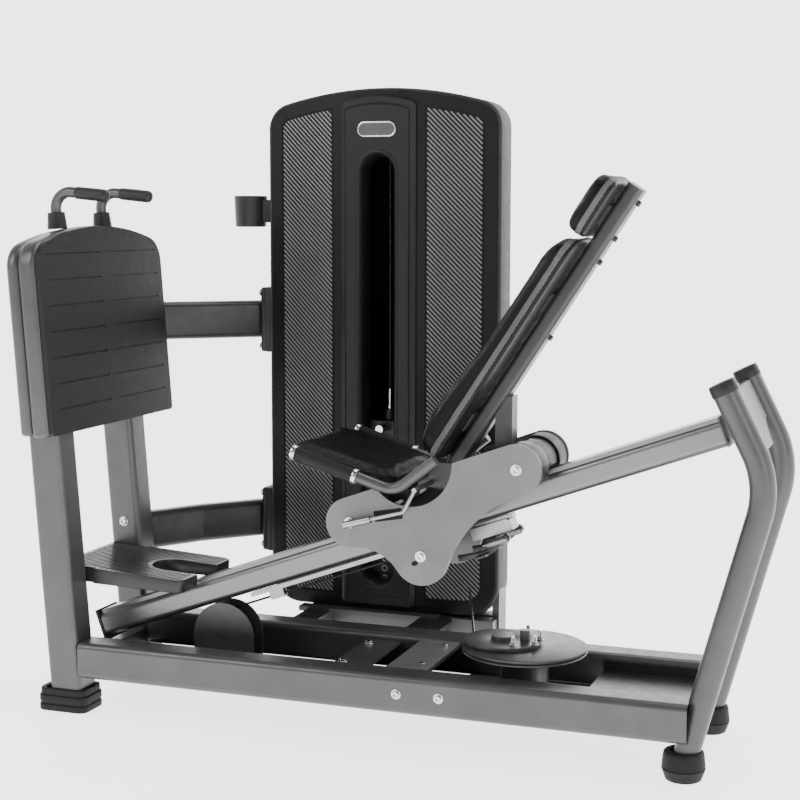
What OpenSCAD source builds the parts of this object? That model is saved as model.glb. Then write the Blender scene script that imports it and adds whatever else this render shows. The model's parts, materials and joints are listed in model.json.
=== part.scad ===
// Selectorised leg press: the user sits on a carriage that rolls up an inclined rail,
// pushing against a fixed footplate; a cable drives a weight stack in the tower.
// Every piece is drawn about the rail's vertical mid-plane (y = 0) with the floor at z = 0,
// then placed so that the origin is the middle of the whole machine's footprint.

/* [Base frame] */
// Distance from the rail's mid-plane to the middle of each long base beam
beam_y = 187; // [170:1:200]
// Width of a base beam across the machine
beam_w = 88; // [70:1:100]
// Height of a base beam
beam_h = 94; // [80:1:100]
// Underside of the base beams above the floor
beam_z = 103; // [95:1:110]
// Wall of the square and round frame tubes
wall = 4; // [3:1:6]
// Diameter of the bent rear tubes
rear_tube_d = 60; // [50:1:64]

/* [Footplate] */
// Lean of the front posts and the footplate away from the user, in degrees
plate_lean = 4.2; // [2:0.1:6]
// Half width of the footplate
plate_half_w = 319; // [280:1:340]
// Height of the footplate from its bottom edge to the top of its arch
plate_h = 528; // [450:1:560]
// Height of the footplate's bottom edge above the floor
plate_z = 744; // [700:1:780]
// Spacing of the grip grooves across the footplate
groove_pitch = 65; // [50:1:80]

/* [Rail] */
// Slope of the rail above the floor, in degrees
rail_angle = 20; // [18:0.5:22]
// Width of the rail across the machine
rail_w = 100; // [90:1:110]
// Height of the rail's section
rail_h = 72; // [66:1:76]
// Radius of the carriage rollers
roller_r = 29; // [26:0.5:30]

/* [Tower] */
// Middle of the tower along the machine
tower_x = -232; // [-250:1:-220]
// Front face of the tower's frame, measured from the rail's mid-plane
tower_y = 500; // [480:1:520]
// Half width of the tower
tower_half_w = 347; // [340:1:352]
// Top of the tower's arch above the floor
tower_top = 1650; // [1600:1:1680]
// Depth of the tower's hoop frame
hoop_depth = 104; // [90:1:110]
// Thickness of one weight plate
weight_t = 27; // [24:1:27]

/* [Seat] */
// Slope of the backrest above the floor, in degrees
back_angle = 57; // [55:0.5:60]
// Width of the seat pad
seat_w = 370; // [340:1:390]
// Width of the back pad
back_w = 290; // [260:1:310]

/* [Hidden] */
$fn = 48;
e = 0.5;      // overlap used when one shape cuts or joins another
hair = 0.02;  // gap between the runs of a bent tube

// The whole machine's middle, which becomes the origin
centre_x = -8.24;
centre_y = 202.5;
floor_z = 12;

frame_grey = [0.42, 0.42, 0.43];
light_grey = [0.66, 0.66, 0.67];
plate_grey = [0.56, 0.56, 0.56];
dark_grey = [0.20, 0.20, 0.21];
shroud_black = [0.13, 0.13, 0.13];
cover_grey = [0.28, 0.28, 0.28];
rubber_black = [0.08, 0.08, 0.08];
pad_black = [0.10, 0.10, 0.10];
chrome_grey = [0.82, 0.82, 0.84];
steel_grey = [0.62, 0.62, 0.64];

// Front posts, in the leaning frame of the footplate
post_depth = 90;       // across the lean, from front face to back face
post_front = -43;      // front face behind the footplate's face
post_top = 455;        // top end above the footplate's bottom edge
plate_face_x = -803;   // footplate's face at its bottom edge
pad_t = 12;            // rubber face pad
shell_t = 53;          // thick shell behind it
back_t = 37;           // back shell
foot_h = 60;           // front rubber feet
rear_foot_h = 68;      // rear rubber cups

// Rear tube route in the side view, from the top end to the foot
rear_path = [[826, 926], [936, 706], [757, 38]];
rear_bend = 210;

// Rail frame: s runs up the rail, the second coordinate is square to it
rail_z = 505;
rail_start = -885;
roller_s = [-64, 387];        // upper rollers
lower_roller_s = 86;
roller_off = rail_h / 2 + roller_r + 0.3;
plate_y = 130;                // inner face of each carriage plate
plate_t = 8;
rack_off = -rail_h / 2 - 10;  // middle of the adjuster bar
cable_off = -65;
cable_d = 6;
low_pulley_r = 55.5;
low_pulley_c = [-481, 198];

// Cam disc
cam_x = 330;
tray_x = [-800, 330];  // tray under the cables, welded below the beams
tray_t = 3;
cam_r = 155;
cam_z = 224;
cam_offset = 55;

// Tower
arm_z = [404, 994];            // middles of the lower and upper arm
arm_end = tower_x - tower_half_w - 22;
flange_t = 12;
tower_bottom = 165;
hoop_t = 34;
hoop_floor = tower_bottom + hoop_t + 0.2;
tower_back = tower_y + hoop_depth;
cover_half_w = 101;
slot_half = 54;
slot_top = 1470;
rear_gate = [40, 0, 246];       // cable hole in the shroud
upper_route = [[-925, beam_y + beam_w / 2], [-880, 350], [arm_end, tower_y + 62]];
lower_route = [[-864, beam_y + beam_w / 2], [-762, 395], [arm_end, tower_y + 62]];
shroud_bulge = 30;             // how far the shroud's middle stands out
shroud_r = (pow(tower_half_w, 2) + pow(shroud_bulge, 2)) / (2 * shroud_bulge);
cover_front = tower_y - 45;    // face of the centre cover
cover_bevel = 30;
panel_gap = 137;               // from the tower's middle to a mesh panel
stack_y = tower_y + 66;
stack_w = 300;
stack_d = 90;
stack_z = 240;
plate_count = 14;
lift_z = stack_z + plate_count * (weight_t + 2);
neck_top = lift_z + 2 * weight_t + 40;
rod_x = 105;
pulley_top_r = 51.5;
top_pulley_z = 1510;
top_pitch = 55;                // from the top pulley's axle to its cable
cable_end = 60;                // where the drive cable's run ends along the rail
lever_y = -160;
lever_pivot = [96, 640];

function unit(v) = v / norm(v);
function turn(u, v) = let (c = u.x * v.y - u.y * v.x) sign(c) * acos(u * v);

module placed() {
    translate([-centre_x, -centre_y, -floor_z]) children();
}

module on_rail() {
    translate([0, 0, rail_z]) rotate([0, -rail_angle, 0]) children();
}

module on_plate() {
    translate([plate_face_x, 0, plate_z]) rotate([0, -plate_lean, 0]) children();
}

// A 2-D section swept along a bent route in the XZ plane: straight runs and true elbows,
// with a hair's width between them so that each stays a simple solid
module bent_bar(points, bend) {
    last = len(points) - 1;
    dirs = [for (i = [0:last - 1]) unit(points[i + 1] - points[i])];
    cuts = [for (i = [0:last])
        (i == 0 || i == last) ? 0 : bend * tan(abs(turn(dirs[i - 1], dirs[i])) / 2)];
    for (i = [0:last - 1]) {
        a = points[i] + dirs[i] * (cuts[i] + (i == 0 ? 0 : hair));
        b = points[i + 1] - dirs[i] * (cuts[i + 1] + (i == last - 1 ? 0 : hair));
        translate([a.x, 0, a.y]) rotate([0, atan2(dirs[i].x, dirs[i].y), 0])
            linear_extrude(norm(b - a)) children();
    }
    for (i = [1:1:last - 1]) {
        phi = turn(dirs[i - 1], dirs[i]);
        side = [-dirs[i - 1].y, dirs[i - 1].x] * sign(phi);
        c = points[i] - dirs[i - 1] * cuts[i] + side * bend;
        start = atan2(-side.y, -side.x);
        translate([c.x, 0, c.y]) rotate([90, 0, 0]) rotate([0, 0, phi > 0 ? start : start + phi])
            rotate_extrude(angle = abs(phi)) translate([bend, 0]) children();
    }
}

module bent_rod(points, bend, d) {
    bent_bar(points, bend) circle(d = d);
}

module rounded_rect(w, h, r) {
    square([w - 2 * r, h], center = true);
    square([w, h - 2 * r], center = true);
    for (x = [-1, 1], y = [-1, 1]) translate([x * (w / 2 - r), y * (h / 2 - r)]) circle(r);
}

// An upright panel outline: flat sides, rounded bottom corners, and an arched top
module arch_panel(half_w, low, high, arch_r, top_r, low_r) {
    arch_c = high - arch_r;
    corner_x = half_w - top_r;
    corner_y = arch_c + sqrt(pow(arch_r - top_r, 2) - pow(corner_x, 2));
    meet_x = corner_x * arch_r / (arch_r - top_r);
    translate([-half_w, low + low_r]) square([2 * half_w, corner_y - low - low_r]);
    translate([-half_w + low_r, low]) square([2 * (half_w - low_r), low_r + e]);
    for (side = [-1, 1]) {
        translate([side * (half_w - low_r), low + low_r]) circle(low_r);
        translate([side * corner_x, corner_y]) circle(top_r);
    }
    intersection() {
        translate([0, arch_c]) circle(arch_r, $fn = 360);
        translate([-meet_x, corner_y - e]) square([2 * meet_x, high - corner_y + 2 * e]);
    }
}

module across(y0, y1, d) {
    translate([0, y0, 0]) rotate([-90, 0, 0]) cylinder(d = d, h = y1 - y0);
}

module ring_y(y0, y1, outer, inner) {
    translate([0, y0, 0]) rotate([-90, 0, 0]) difference() {
        cylinder(d = outer, h = y1 - y0);
        translate([0, 0, -e]) cylinder(d = inner, h = y1 - y0 + 2 * e);
    }
}

// ---- Base frame ----

module beam_section(inset) {
    rounded_rect(beam_h - 2 * inset, beam_w - 2 * inset, 16 - inset);
}

module base_beam(y) {
    x0 = -802;
    x1 = 772;
    translate([x0, y, beam_z + beam_h / 2]) rotate([0, 90, 0]) difference() {
        linear_extrude(x1 - x0) beam_section(0);
        translate([0, 0, -e]) linear_extrude(x1 - x0 + 2 * e) beam_section(wall);
    }
}

module near_beam() {
    color(frame_grey) placed() base_beam(-beam_y);
}

module far_beam() {
    color(frame_grey) placed() base_beam(beam_y);
}

module post(y) {
    low = foot_h + floor_z - plate_z - 8;
    difference() {
        on_plate() translate([post_front - post_depth / 2, y, low]) difference() {
            linear_extrude(post_top - low) rounded_rect(post_depth, beam_w, 14);
            translate([0, 0, -e]) linear_extrude(post_top - low + 2 * e)
                rounded_rect(post_depth - 2 * wall, beam_w - 2 * wall, 10);
        }
        translate([-1200, y - 100, -200]) cube([600, 200, 200 + floor_z + foot_h - 20]);
    }
}

module front_posts() {
    color(frame_grey) placed() for (side = [-1, 1]) post(side * beam_y);
}

module front_feet() {
    color(rubber_black) placed() for (side = [-1, 1]) translate([-850, side * beam_y, floor_z]) {
        linear_extrude(foot_h - 20) rounded_rect(142, 108, 24);
        translate([0, 0, foot_h - 20]) difference() {
            linear_extrude(20) rounded_rect(134, 102, 22);
            linear_extrude(22) rounded_rect(103, 90, 14);
        }
    }
}

module rear_tubes() {
    color(frame_grey) placed() for (side = [-1, 1]) translate([0, side * beam_y, 0])
        bent_rod(rear_path, rear_bend, rear_tube_d);
}

module rear_feet() {
    color(rubber_black) placed() for (side = [-1, 1]) translate([760, side * beam_y, floor_z]) difference() {
        union() {
            cylinder(d1 = 84, d2 = 102, h = 26);
            translate([0, 0, 26]) cylinder(d1 = 102, d2 = 90, h = rear_foot_h - 26);
        }
        translate([-4, 0, 18]) rotate([0, 15.9, 0]) cylinder(d = rear_tube_d + 0.6, h = 120);
    }
}

module front_cross_member() {
    color(frame_grey) placed() difference() {
        translate([-866, -beam_y + beam_w / 2, beam_z]) cube([60, 2 * beam_y - beam_w, 44]);
        translate([-862, -beam_y, beam_z + 4]) cube([52, 2 * beam_y, 36]);
    }
}

// Folded plates between the beams that carry the pulleys and the cam spindle
module mid_cross_plates() {
    inner = beam_y - beam_w / 2;
    color(frame_grey) placed() {
        translate([-140, -inner, 172]) cube([96, 2 * inner, 6]);
        translate([10, -inner, 180]) cube([112, 2 * inner, 8]);
        for (web = [[-140, -27, 62], [10, -39, 70]]) translate([web.x, 0, 110]) difference() {
            translate([0, -inner, 0]) cube([6, 2 * inner, web.z]);
            translate([-e, web.y, 32]) rotate([0, 90, 0]) cylinder(d = 14, h = 7);
        }
        translate([150, -inner, 106]) cube([340, 2 * inner, 6]);
        translate([cam_x, 0, 111.5]) cylinder(d = 54, h = 14);
        translate([cam_x, 0, 125]) cylinder(d = 24, h = 153);
    }
}

module rear_deck() {
    inner = beam_y - beam_w / 2;
    color(dark_grey) placed() {
        translate([500, -inner, 150]) {
            cube([262, 2 * inner, 5]);
            for (y = [0, 2 * inner - 5]) translate([0, y, 5]) cube([240, 5, 24]);
        }
        translate([tray_x[0], -inner - 8, beam_z - tray_t])
            cube([tray_x[1] - tray_x[0], 2 * inner + 16, tray_t]);
    }
}

module hex_bolt(d, h) {
    cylinder(d = d, h = h * 0.55);
    translate([0, 0, h * 0.55 - e]) cylinder(d = d * 0.62, h = h * 0.45 + e);
}

module frame_bolts() {
    color(chrome_grey) placed() {
        for (x = [74, 181]) translate([x, -beam_y - beam_w / 2, 153]) rotate([90, 0, 0]) hex_bolt(20, 9);
        for (x = [-118, 92], y = [-92, 92]) translate([x, y, x < 0 ? 178 : 188]) hex_bolt(18, 9);
        on_plate() translate([post_front - post_depth / 2, beam_y - beam_w / 2, -292])
            rotate([90, 0, 0]) hex_bolt(22, 10);
        for (z = arm_z, k = [-1, 1], y = [-26, 26])
            translate([arm_end - flange_t, tower_y + 52 + y, z + k * 78]) rotate([0, -90, 0]) hex_bolt(18, 10);
    }
}

module rear_gusset() {
    top = rear_path[0];
    dir = unit(rear_path[1] - top);
    lean = atan2(dir.x, -dir.y);
    span = beam_y - rear_tube_d / 2 - 0.3;
    color(light_grey) placed() translate([top.x, 0, top.y]) rotate([0, -lean, 0]) {
        translate([-5, 0, -184]) rotate([90, 0, 90]) linear_extrude(10) difference() {
            translate([-span, 0]) square([2 * span, 158]);
            translate([0, 158 + 400]) circle(406, $fn = 240);
            for (side = [-1, 1]) translate([side * span, -30]) circle(92, $fn = 96);
        }
        translate([-26, -62, -172]) cube([21, 124, 118]);
    }
}

// ---- Rail ----

module rail_section(inset) {
    translate([0, -4]) rounded_rect(rail_w - 2 * inset, rail_h - 8 - 2 * inset, 16);
}

module rail() {
    color(light_grey) placed() on_rail() translate([rail_start, 0, 0]) rotate([90, 0, 90])
        difference() {
            linear_extrude(1746) union() {
                rail_section(0);
                translate([-rail_w / 2 + 8, rail_h / 2 - 22]) square([rail_w - 16, 22]);
            }
            translate([0, 0, -e]) linear_extrude(1748) rail_section(5);
        }
}

module rail_end_plate() {
    color(dark_grey) placed() on_rail() translate([rail_start - 8, 0, 0]) difference() {
        union() {
            translate([0, -rail_w / 2 - 2, -46]) cube([8, rail_w + 4, 86]);
            translate([-14, -30, -46]) cube([14, 60, 60]);
        }
        translate([-20, 0, 26]) rotate([0, 90, 0]) cylinder(d = 12, h = 40);
    }
}

// ---- Drive ----

module pulley_guard() {
    color(frame_grey) placed() for (y = [-30, 26])
        translate([low_pulley_c.x, y + 4, low_pulley_c.y]) rotate([90, 0, 0]) linear_extrude(4)
            difference() {
                union() {
                    circle(86, $fn = 96);
                    translate([-86, -92]) square([172, 92]);
                }
                circle(8.05);
            }
}

module grooved_wheel(r, w, bore, groove) {
    rotate([90, 0, 0]) rotate_extrude($fn = 96) difference() {
        translate([bore / 2, -w / 2]) square([r + groove - bore / 2, w]);
        translate([r + groove, 0]) circle(groove);
    }
}

module low_pulley() {
    color(rubber_black) placed() translate([low_pulley_c.x, 0, low_pulley_c.y])
        grooved_wheel(low_pulley_r, 34, 16.1, 8);
}

module pulley_brackets() {
    color(frame_grey) placed() {
        translate([low_pulley_c.x, 0, low_pulley_c.y]) across(-34, 34, 16);
        translate([low_pulley_c.x - 60, -30, beam_z]) cube([120, 60, 3]);
        translate([tower_x, stack_y + top_pitch, top_pulley_z]) rotate([0, 0, 90]) across(-31, 31, 16);
        for (side = [-1, 1]) translate([tower_x + side * 28 - 3, stack_y - 8, top_pulley_z - 30]) {
            cube([6, tower_back - stack_y + 7, 130]);
            cube([6, 110, 76]);
        }
    }
}

module cable_run(a, b) {
    v = b - a;
    translate(a) rotate([0, acos(v.z / norm(v)), atan2(v.y, v.x)]) cylinder(d = cable_d, h = norm(v), $fn = 24);
}

module drive_cable() {
    color(rubber_black) placed() on_rail() {
        p = [low_pulley_c.x, low_pulley_c.y - rail_z];
        s0 = p.x * cos(rail_angle) + p.y * sin(rail_angle);
        translate([s0, 0, cable_off]) rotate([0, 90, 0]) cylinder(d = cable_d, h = cable_end - s0, $fn = 24);
    }
}

module base_cable() {
    exit = [180, 62, cam_z + 8];
    gate = [rear_gate.x, tower_y - 25, rear_gate.z];
    color(rubber_black) placed() {
        cable_run([low_pulley_c.x, 0, low_pulley_c.y - low_pulley_r - 3.5], [cam_x - 76, -64, 142]);
        cable_run(exit, gate);
        translate([tower_x, stack_y + top_pitch, top_pulley_z]) rotate([90, 0, 90]) rotate_extrude(angle = 180)
            translate([top_pitch, 0]) circle(d = cable_d, $fn = 24);
        translate([tower_x, stack_y + 2 * top_pitch, 222]) cylinder(d = cable_d, h = top_pulley_z - 222, $fn = 24);
    }
}

module lift_cable() {
    color(rubber_black) placed() translate([tower_x, stack_y, neck_top]) cylinder(d = cable_d, h = top_pulley_z - neck_top, $fn = 24);
}

module top_pulley() {
    color(rubber_black) placed() translate([tower_x, stack_y + top_pitch, top_pulley_z]) rotate([0, 0, 90])
        grooved_wheel(pulley_top_r, 34, 16.1, 8);
}

// Two rims with a cable groove between them, an eccentric pulley on top and a drum below
module cam_disc() {
    color(frame_grey) placed() translate([cam_x, 0, 0]) difference() {
        union() {
            translate([0, 0, cam_z]) cylinder(r = cam_r, h = 5, $fn = 180);
            translate([0, 0, cam_z + 5]) cylinder(r = cam_r - 9, h = 6, $fn = 180);
            translate([0, 0, cam_z + 11]) cylinder(r = cam_r, h = 5, $fn = 180);
            translate([-cam_offset, 0, cam_z + 16]) cylinder(r = 92, h = 6, $fn = 120);
            translate([-cam_offset, 0, cam_z + 22]) cylinder(r = 98, h = 5, $fn = 120);
            translate([0, 0, cam_z + 27]) cylinder(r = 30, h = 10);
            translate([0, 0, 132]) cylinder(r = 60, h = cam_z - 132);
            translate([0, 0, 128]) cylinder(r = 72, h = 6);
            for (p = [[-8, 62], [34, 20], [34, -34], [-14, -58]])
                translate([p.x, p.y, cam_z + 16]) cylinder(d = 14, h = 34, $fn = 32);
        }
        translate([0, 0, 100]) cylinder(d = 24.1, h = 200);
    }
}

module rack_bar() {
    color(steel_grey) placed() on_rail() difference() {
        translate([-451, -14, rack_off - 5.5]) cube([754, 28, 11]);
        for (i = [0:9]) translate([-425 + i * 30, 0, rack_off - 10]) cylinder(d = 12, h = 20);
    }
}

// Clamp on the adjuster bar: two cheeks hold the cable, and a block ends the bar
module cable_anchor() {
    low = cable_off - 9;
    color(steel_grey) placed() on_rail() {
        for (y = [-11, 4.5]) translate([-400, y, low]) cube([40, 6.5, rack_off - 5.5 - low]);
        for (y = [-26, 18]) translate([188, y, -78]) cube([100, 8, 30]);
        translate([276, -26, -78]) cube([20, 52, -5.5 + rack_off + 78]);
    }
}

// ---- Footplate ----

module plate_outline(inset) {
    arch_panel(plate_half_w - inset, inset, plate_h - inset, 1040 - inset, 70 - inset / 2, 10);
}

module plate_layer(front, t, inset) {
    translate([front - t, 0, 0]) rotate([90, 0, 90]) linear_extrude(t) plate_outline(inset);
}

module post_pockets() {
    for (side = [-1, 1]) translate([post_front - post_depth / 2, side * beam_y, -10])
        linear_extrude(post_top + 10) square([post_depth, beam_w], center = true);
}

// Clears the upper arm where it passes behind the footplate's far edge
module arm_pocket(front) {
    translate([front - 60, beam_y + beam_w / 2 - 3, 196]) cube([60, 120, 120]);
}

module footplate_pad() {
    color(dark_grey) placed() on_plate() difference() {
        plate_layer(0, pad_t, 3);
        for (row = [1:7], side = [-1, 1])
            translate([-2.2, side * 152 - 132, row * groove_pitch]) cube([4, 264, 4]);
    }
}

module footplate_shell() {
    color(frame_grey) placed() on_plate() difference() {
        plate_layer(-pad_t, shell_t, 0);
        post_pockets();
        translate([0, 20, 0]) arm_pocket(-38);
    }
}

module footplate_back() {
    color(frame_grey) placed() on_plate() difference() {
        plate_layer(-pad_t - shell_t, back_t, 6);
        post_pockets();
        arm_pocket(-pad_t - shell_t + e);
    }
}

handle_route = [[-62, 524], [-62, 622], [86, 597]];

module plate_handles() {
    last = handle_route[2];
    along = unit(last - handle_route[1]);
    neck = last - along * 80;
    color(frame_grey) placed() on_plate() for (side = [-1, 1]) translate([0, side * 115, 0]) {
        bent_rod([handle_route[0], handle_route[1], neck], 42, 28);
        translate([neck.x, 0, neck.y]) rotate([0, atan2(along.x, along.y), 0]) {
            translate([0, 0, hair]) cylinder(d = 32, h = 86 - hair);
            translate([0, 0, 86]) cylinder(d1 = 32, d2 = 18, h = 8);
        }
    }
}

module handle_collars() {
    color(dark_grey) placed() on_plate() for (side = [-1, 1]) translate([-62, side * 115, 523]) difference() {
        cylinder(d1 = 52, d2 = 44, h = 42);
        translate([0, 0, -e]) cylinder(d = 28, h = 44);
    }
}

// ---- Step ----

module step_outline() {
    length = 366;
    half_w = 152;
    union() {
        translate([0, -beam_y + beam_w / 2]) square([110, 2 * beam_y - beam_w]);
        difference() {
            union() {
                translate([96, -half_w]) square([length - 96 - 26, 2 * half_w]);
                translate([length - 50, -half_w + 26]) square([50, 2 * half_w - 52]);
                for (side = [-1, 1]) translate([length - 26, side * (half_w - 26)]) circle(26);
            }
            translate([length - 96, 0]) circle(60);
            translate([length - 96, -60]) square([100, 120]);
        }
    }
}

module step_plate() {
    color(dark_grey) placed() translate([-905, 0, 386]) rotate([0, 3.6, 0]) difference() {
        translate([0, 0, -42]) linear_extrude(42) step_outline();
        translate([92, -200, -90]) rotate([0, -1.8, 0]) cube([400, 400, 48]);
    }
}

// ---- Tower arms ----

// Outline in plan of a bar that starts on the post's face and ends on the flange
function cut_y(p, d, y) = p + d * ((y - p.y) / d.y);
function cut_x(p, d, x) = p + d * ((x - p.x) / d.x);
function bar_plan(p, w, y0, x1) = let (
    d1 = unit(p[1] - p[0]), d2 = unit(p[2] - p[1]),
    n1 = [-d1.y, d1.x] * w, n2 = [-d2.y, d2.x] * w,
    corner = (n1 + n2) / (1 + (n1 * n2) / (w * w))
) [cut_y(p[0] + n1, d1, y0), p[1] + corner, cut_x(p[2] + n2, d2, x1),
    cut_x(p[2] - n2, d2, x1), p[1] - corner, cut_y(p[0] - n1, d1, y0)];

module arm_bar(z, route) {
    translate([0, 0, z - 54]) linear_extrude(108)
        polygon(bar_plan(route, 25, beam_y + beam_w / 2 + 0.5, arm_end - flange_t));
}

module arm_flange(z) {
    translate([arm_end - flange_t, tower_y + 10, z - 94]) cube([flange_t, 84, 188]);
}

module upper_arm() {
    color(frame_grey) placed() {
        arm_bar(arm_z[1], upper_route);
        arm_flange(arm_z[1]);
    }
}

module lower_arm() {
    color(frame_grey) placed() {
        arm_bar(arm_z[0], lower_route);
        arm_flange(arm_z[0]);
    }
}

// ---- Tower ----

module tower_outline(inset) {
    arch_panel(tower_half_w - inset, tower_bottom + inset, tower_top - inset, 1100, 74 - inset, 92 - inset);
}

module tower_slab(y0, depth, inset) {
    translate([tower_x, y0 + depth, 0]) rotate([90, 0, 0]) linear_extrude(depth) tower_outline(inset);
}

module tower_frame() {
    color(frame_grey) placed() {
        difference() {
            tower_slab(tower_y, hoop_depth, 0);
            tower_slab(tower_y - e, hoop_depth + 2 * e, hoop_t);
        }
        for (z = arm_z) translate([arm_end, tower_y + 10, z - 94]) cube([26, 84, 188]);
    }
}

module tower_base() {
    inner = beam_y + beam_w / 2;
    color(frame_grey) placed() {
        for (y = [tower_y - 30, tower_y + 44]) translate([-450, y, 114]) cube([560, 50, tower_bottom - 114.2]);
        for (x = [-430, -90]) translate([x, inner, 116]) cube([60, tower_y - 30 - inner, 44]);
        translate([-462, tower_y - 74, 160]) difference() {
            cube([420, 40, 14]);
            translate([150, 20, -e]) cylinder(d = 14, h = 20);
        }
        translate([0, tower_y + 84, 0]) rotate([90, 0, 0]) linear_extrude(70) polygon(foot_web());
        translate([-426, tower_y + 26, floor_z + 24]) cube([40, 78, 80]);
    }
}

// Side view of the web under the tower's lower corner, its top following the corner's curve
function foot_web() = let (edge = tower_x + tower_half_w, r = 92.5)
    concat([[edge - 20, floor_z + 24], [edge, floor_z + 24]],
        [for (a = [6:6.6:39]) [edge - 92 + r * cos(a), tower_bottom + 92 - r * sin(a)]]);

module tower_feet() {
    color(rubber_black) placed() for (p = [[tower_x + tower_half_w - 9, tower_y + 52], [-408, tower_y + 62]])
        translate([p.x, p.y, floor_z]) cylinder(d1 = 60, d2 = 48, h = 24);
}

module slot_outline(half_w) {
    translate([-half_w, 300]) square([2 * half_w, slot_top - 300 - half_w]);
    translate([0, slot_top - half_w]) circle(half_w);
    translate([0, 300]) circle(half_w);
}

module tower_cut(y0, depth) {
    translate([tower_x, y0 + depth, 0]) rotate([90, 0, 0]) linear_extrude(depth) children();
}

module side_panel_outline(side, inset) {
    near = panel_gap + inset;
    intersection() {
        tower_outline(46 + inset);
        translate([side > 0 ? near : -400, 0]) square([400 - near, 2000]);
    }
}

// Everything behind the shroud's curved face, set back by depth
module behind_shroud(depth) {
    translate([tower_x, tower_y - 2 - shroud_bulge + shroud_r + depth, 0])
        cylinder(r = shroud_r, h = 2000, $fn = 720);
}

module front_shroud() {
    color(shroud_black) placed() difference() {
        intersection() {
            tower_slab(tower_y - 60, 60, 9.5);
            behind_shroud(0);
        }
        intersection() {
            tower_slab(tower_y - 61, 62, 34);
            behind_shroud(8);
        }
        for (side = [-1, 1]) intersection() {
            tower_cut(tower_y - 61, 61 - 2) side_panel_outline(side, 0);
            translate([0, 0, -10]) difference() {
                translate([-1000, 0, 0]) cube([1500, tower_y, 1800]);
                behind_shroud(4);
            }
        }
        tower_cut(tower_y - 70, 80) slot_outline(slot_half);
        translate([rear_gate.x, tower_y - 70, rear_gate.z]) rotate([-90, 0, 0]) cylinder(d = 30, h = 80);
    }
}

module rear_shroud() {
    color(shroud_black) placed() difference() {
        tower_slab(tower_back, 120, 48);
        tower_slab(tower_back - e, 116, 54);
    }
}

// Perforated panels set into the shroud on both sides of the centre cover
module mesh_panels() {
    color(cover_grey) placed() for (side = [-1, 1]) intersection() {
        tower_cut(tower_y - 61, 59) side_panel_outline(side, 2);
        difference() {
            behind_shroud(0.5);
            behind_shroud(3.8);
        }
    }
}

module center_cover() {
    back = tower_y - shroud_bulge - 2.5;
    depth = back - cover_front;
    color(cover_grey) placed() difference() {
        tower_cut(cover_front, depth) cover_outline(-10);
        tower_cut(cover_front + 5, depth) cover_outline(8);
        tower_cut(cover_front - e, depth + 1) slot_outline(slot_half);
        for (side = [-1, 1]) translate([tower_x + side * (cover_half_w + 10), cover_front, 0])
            rotate([0, 0, 45]) translate([-8, -8, 100]) cube([16, 16, 1700]);
    }
}

module cover_outline(inset) {
    arch_panel(cover_half_w - inset, 200 + inset, 1614 - inset, 330, 14, 14);
}

module badge() {
    color(chrome_grey) placed() tower_cut(cover_front - 3, 3) translate([-4, 1534]) rounded_rect(114, 42, 20.9);
}

module guide_rods() {
    color(chrome_grey) placed() for (side = [-1, 1])
        translate([tower_x + side * rod_x, stack_y, hoop_floor]) cylinder(d = 25, h = 1400);
}

module weight_plate(z, t) {
    translate([tower_x, stack_y, z]) difference() {
        translate([-stack_w / 2, -stack_d / 2, 0]) cube([stack_w, stack_d, t]);
        for (x = [-rod_x, rod_x]) translate([x, 0, -e]) cylinder(d = 25.2, h = t + 2 * e);
        translate([0, 0, -e]) cylinder(d = 26, h = t + 2 * e);
    }
}

module lower_stack() {
    color(dark_grey) placed() {
        for (i = [0:plate_count - 1]) weight_plate(stack_z + i * (weight_t + 2), weight_t);
        for (side = [-1, 1]) translate([tower_x + side * rod_x, stack_y, hoop_floor]) difference() {
            cylinder(d = 60, h = stack_z - hoop_floor - 0.5);
            translate([0, 0, -e]) cylinder(d = 25.2, h = 60);
        }
    }
}

module lifted_plates() {
    color(dark_grey) placed() {
        difference() {
            union() {
                weight_plate(lift_z, weight_t);
                weight_plate(lift_z + weight_t + 1, weight_t + 10);
                translate([tower_x, stack_y, lift_z - 400]) cylinder(d = 22, h = 400 + 2 * weight_t + 30);
                translate([tower_x, stack_y, lift_z - e]) cylinder(d = 27, h = 2 * weight_t + 11 + e);
                translate([tower_x, stack_y, lift_z + 2 * weight_t + 10]) cylinder(d = 34, h = 30);
            }
            translate([tower_x, stack_y - 60, lift_z + weight_t + 20]) rotate([-90, 0, 0])
                cylinder(d = 10.1, h = 70);
        }
    }
}

module selector_pin() {
    color(chrome_grey) placed() translate([tower_x, stack_y - 92, lift_z + weight_t + 20]) rotate([-90, 0, 0]) {
        translate([0, 0, 24]) cylinder(d = 10, h = 76);
        cylinder(d1 = 22, d2 = 28, h = 25);
    }
}

module cup_holder() {
    x = -663;
    y = tower_y + 56;
    color(dark_grey) placed() {
        translate([x, y, 1262]) difference() {
            cylinder(d1 = 88, d2 = 98, h = 90);
            translate([0, 0, 4]) cylinder(d1 = 81, d2 = 91.5, h = 88);
        }
        translate([x + 45.5, y - 22, 1275]) cube([tower_x - tower_half_w - x - 45.5, 44, 66]);
    }
}

// ---- Carriage ----

lobe_r = 62;
low_lobe_r = 72;
cut_c = [136, 161];
cut_r = 109;
left_fillet = 120;
right_fillet = 290;

// Centre of a circle of radius r that touches the low lobe (at a) and an upper lobe (at b)
function fillet_c(a, b, r) = let (d = norm(b - a), ra = low_lobe_r + r, rb = lobe_r + r,
    t = (ra * ra - rb * rb + d * d) / (2 * d), u = unit(b - a), side = sign(b.x - a.x))
    a + u * t + [u.y, -u.x] * side * sqrt(ra * ra - t * t);

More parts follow.
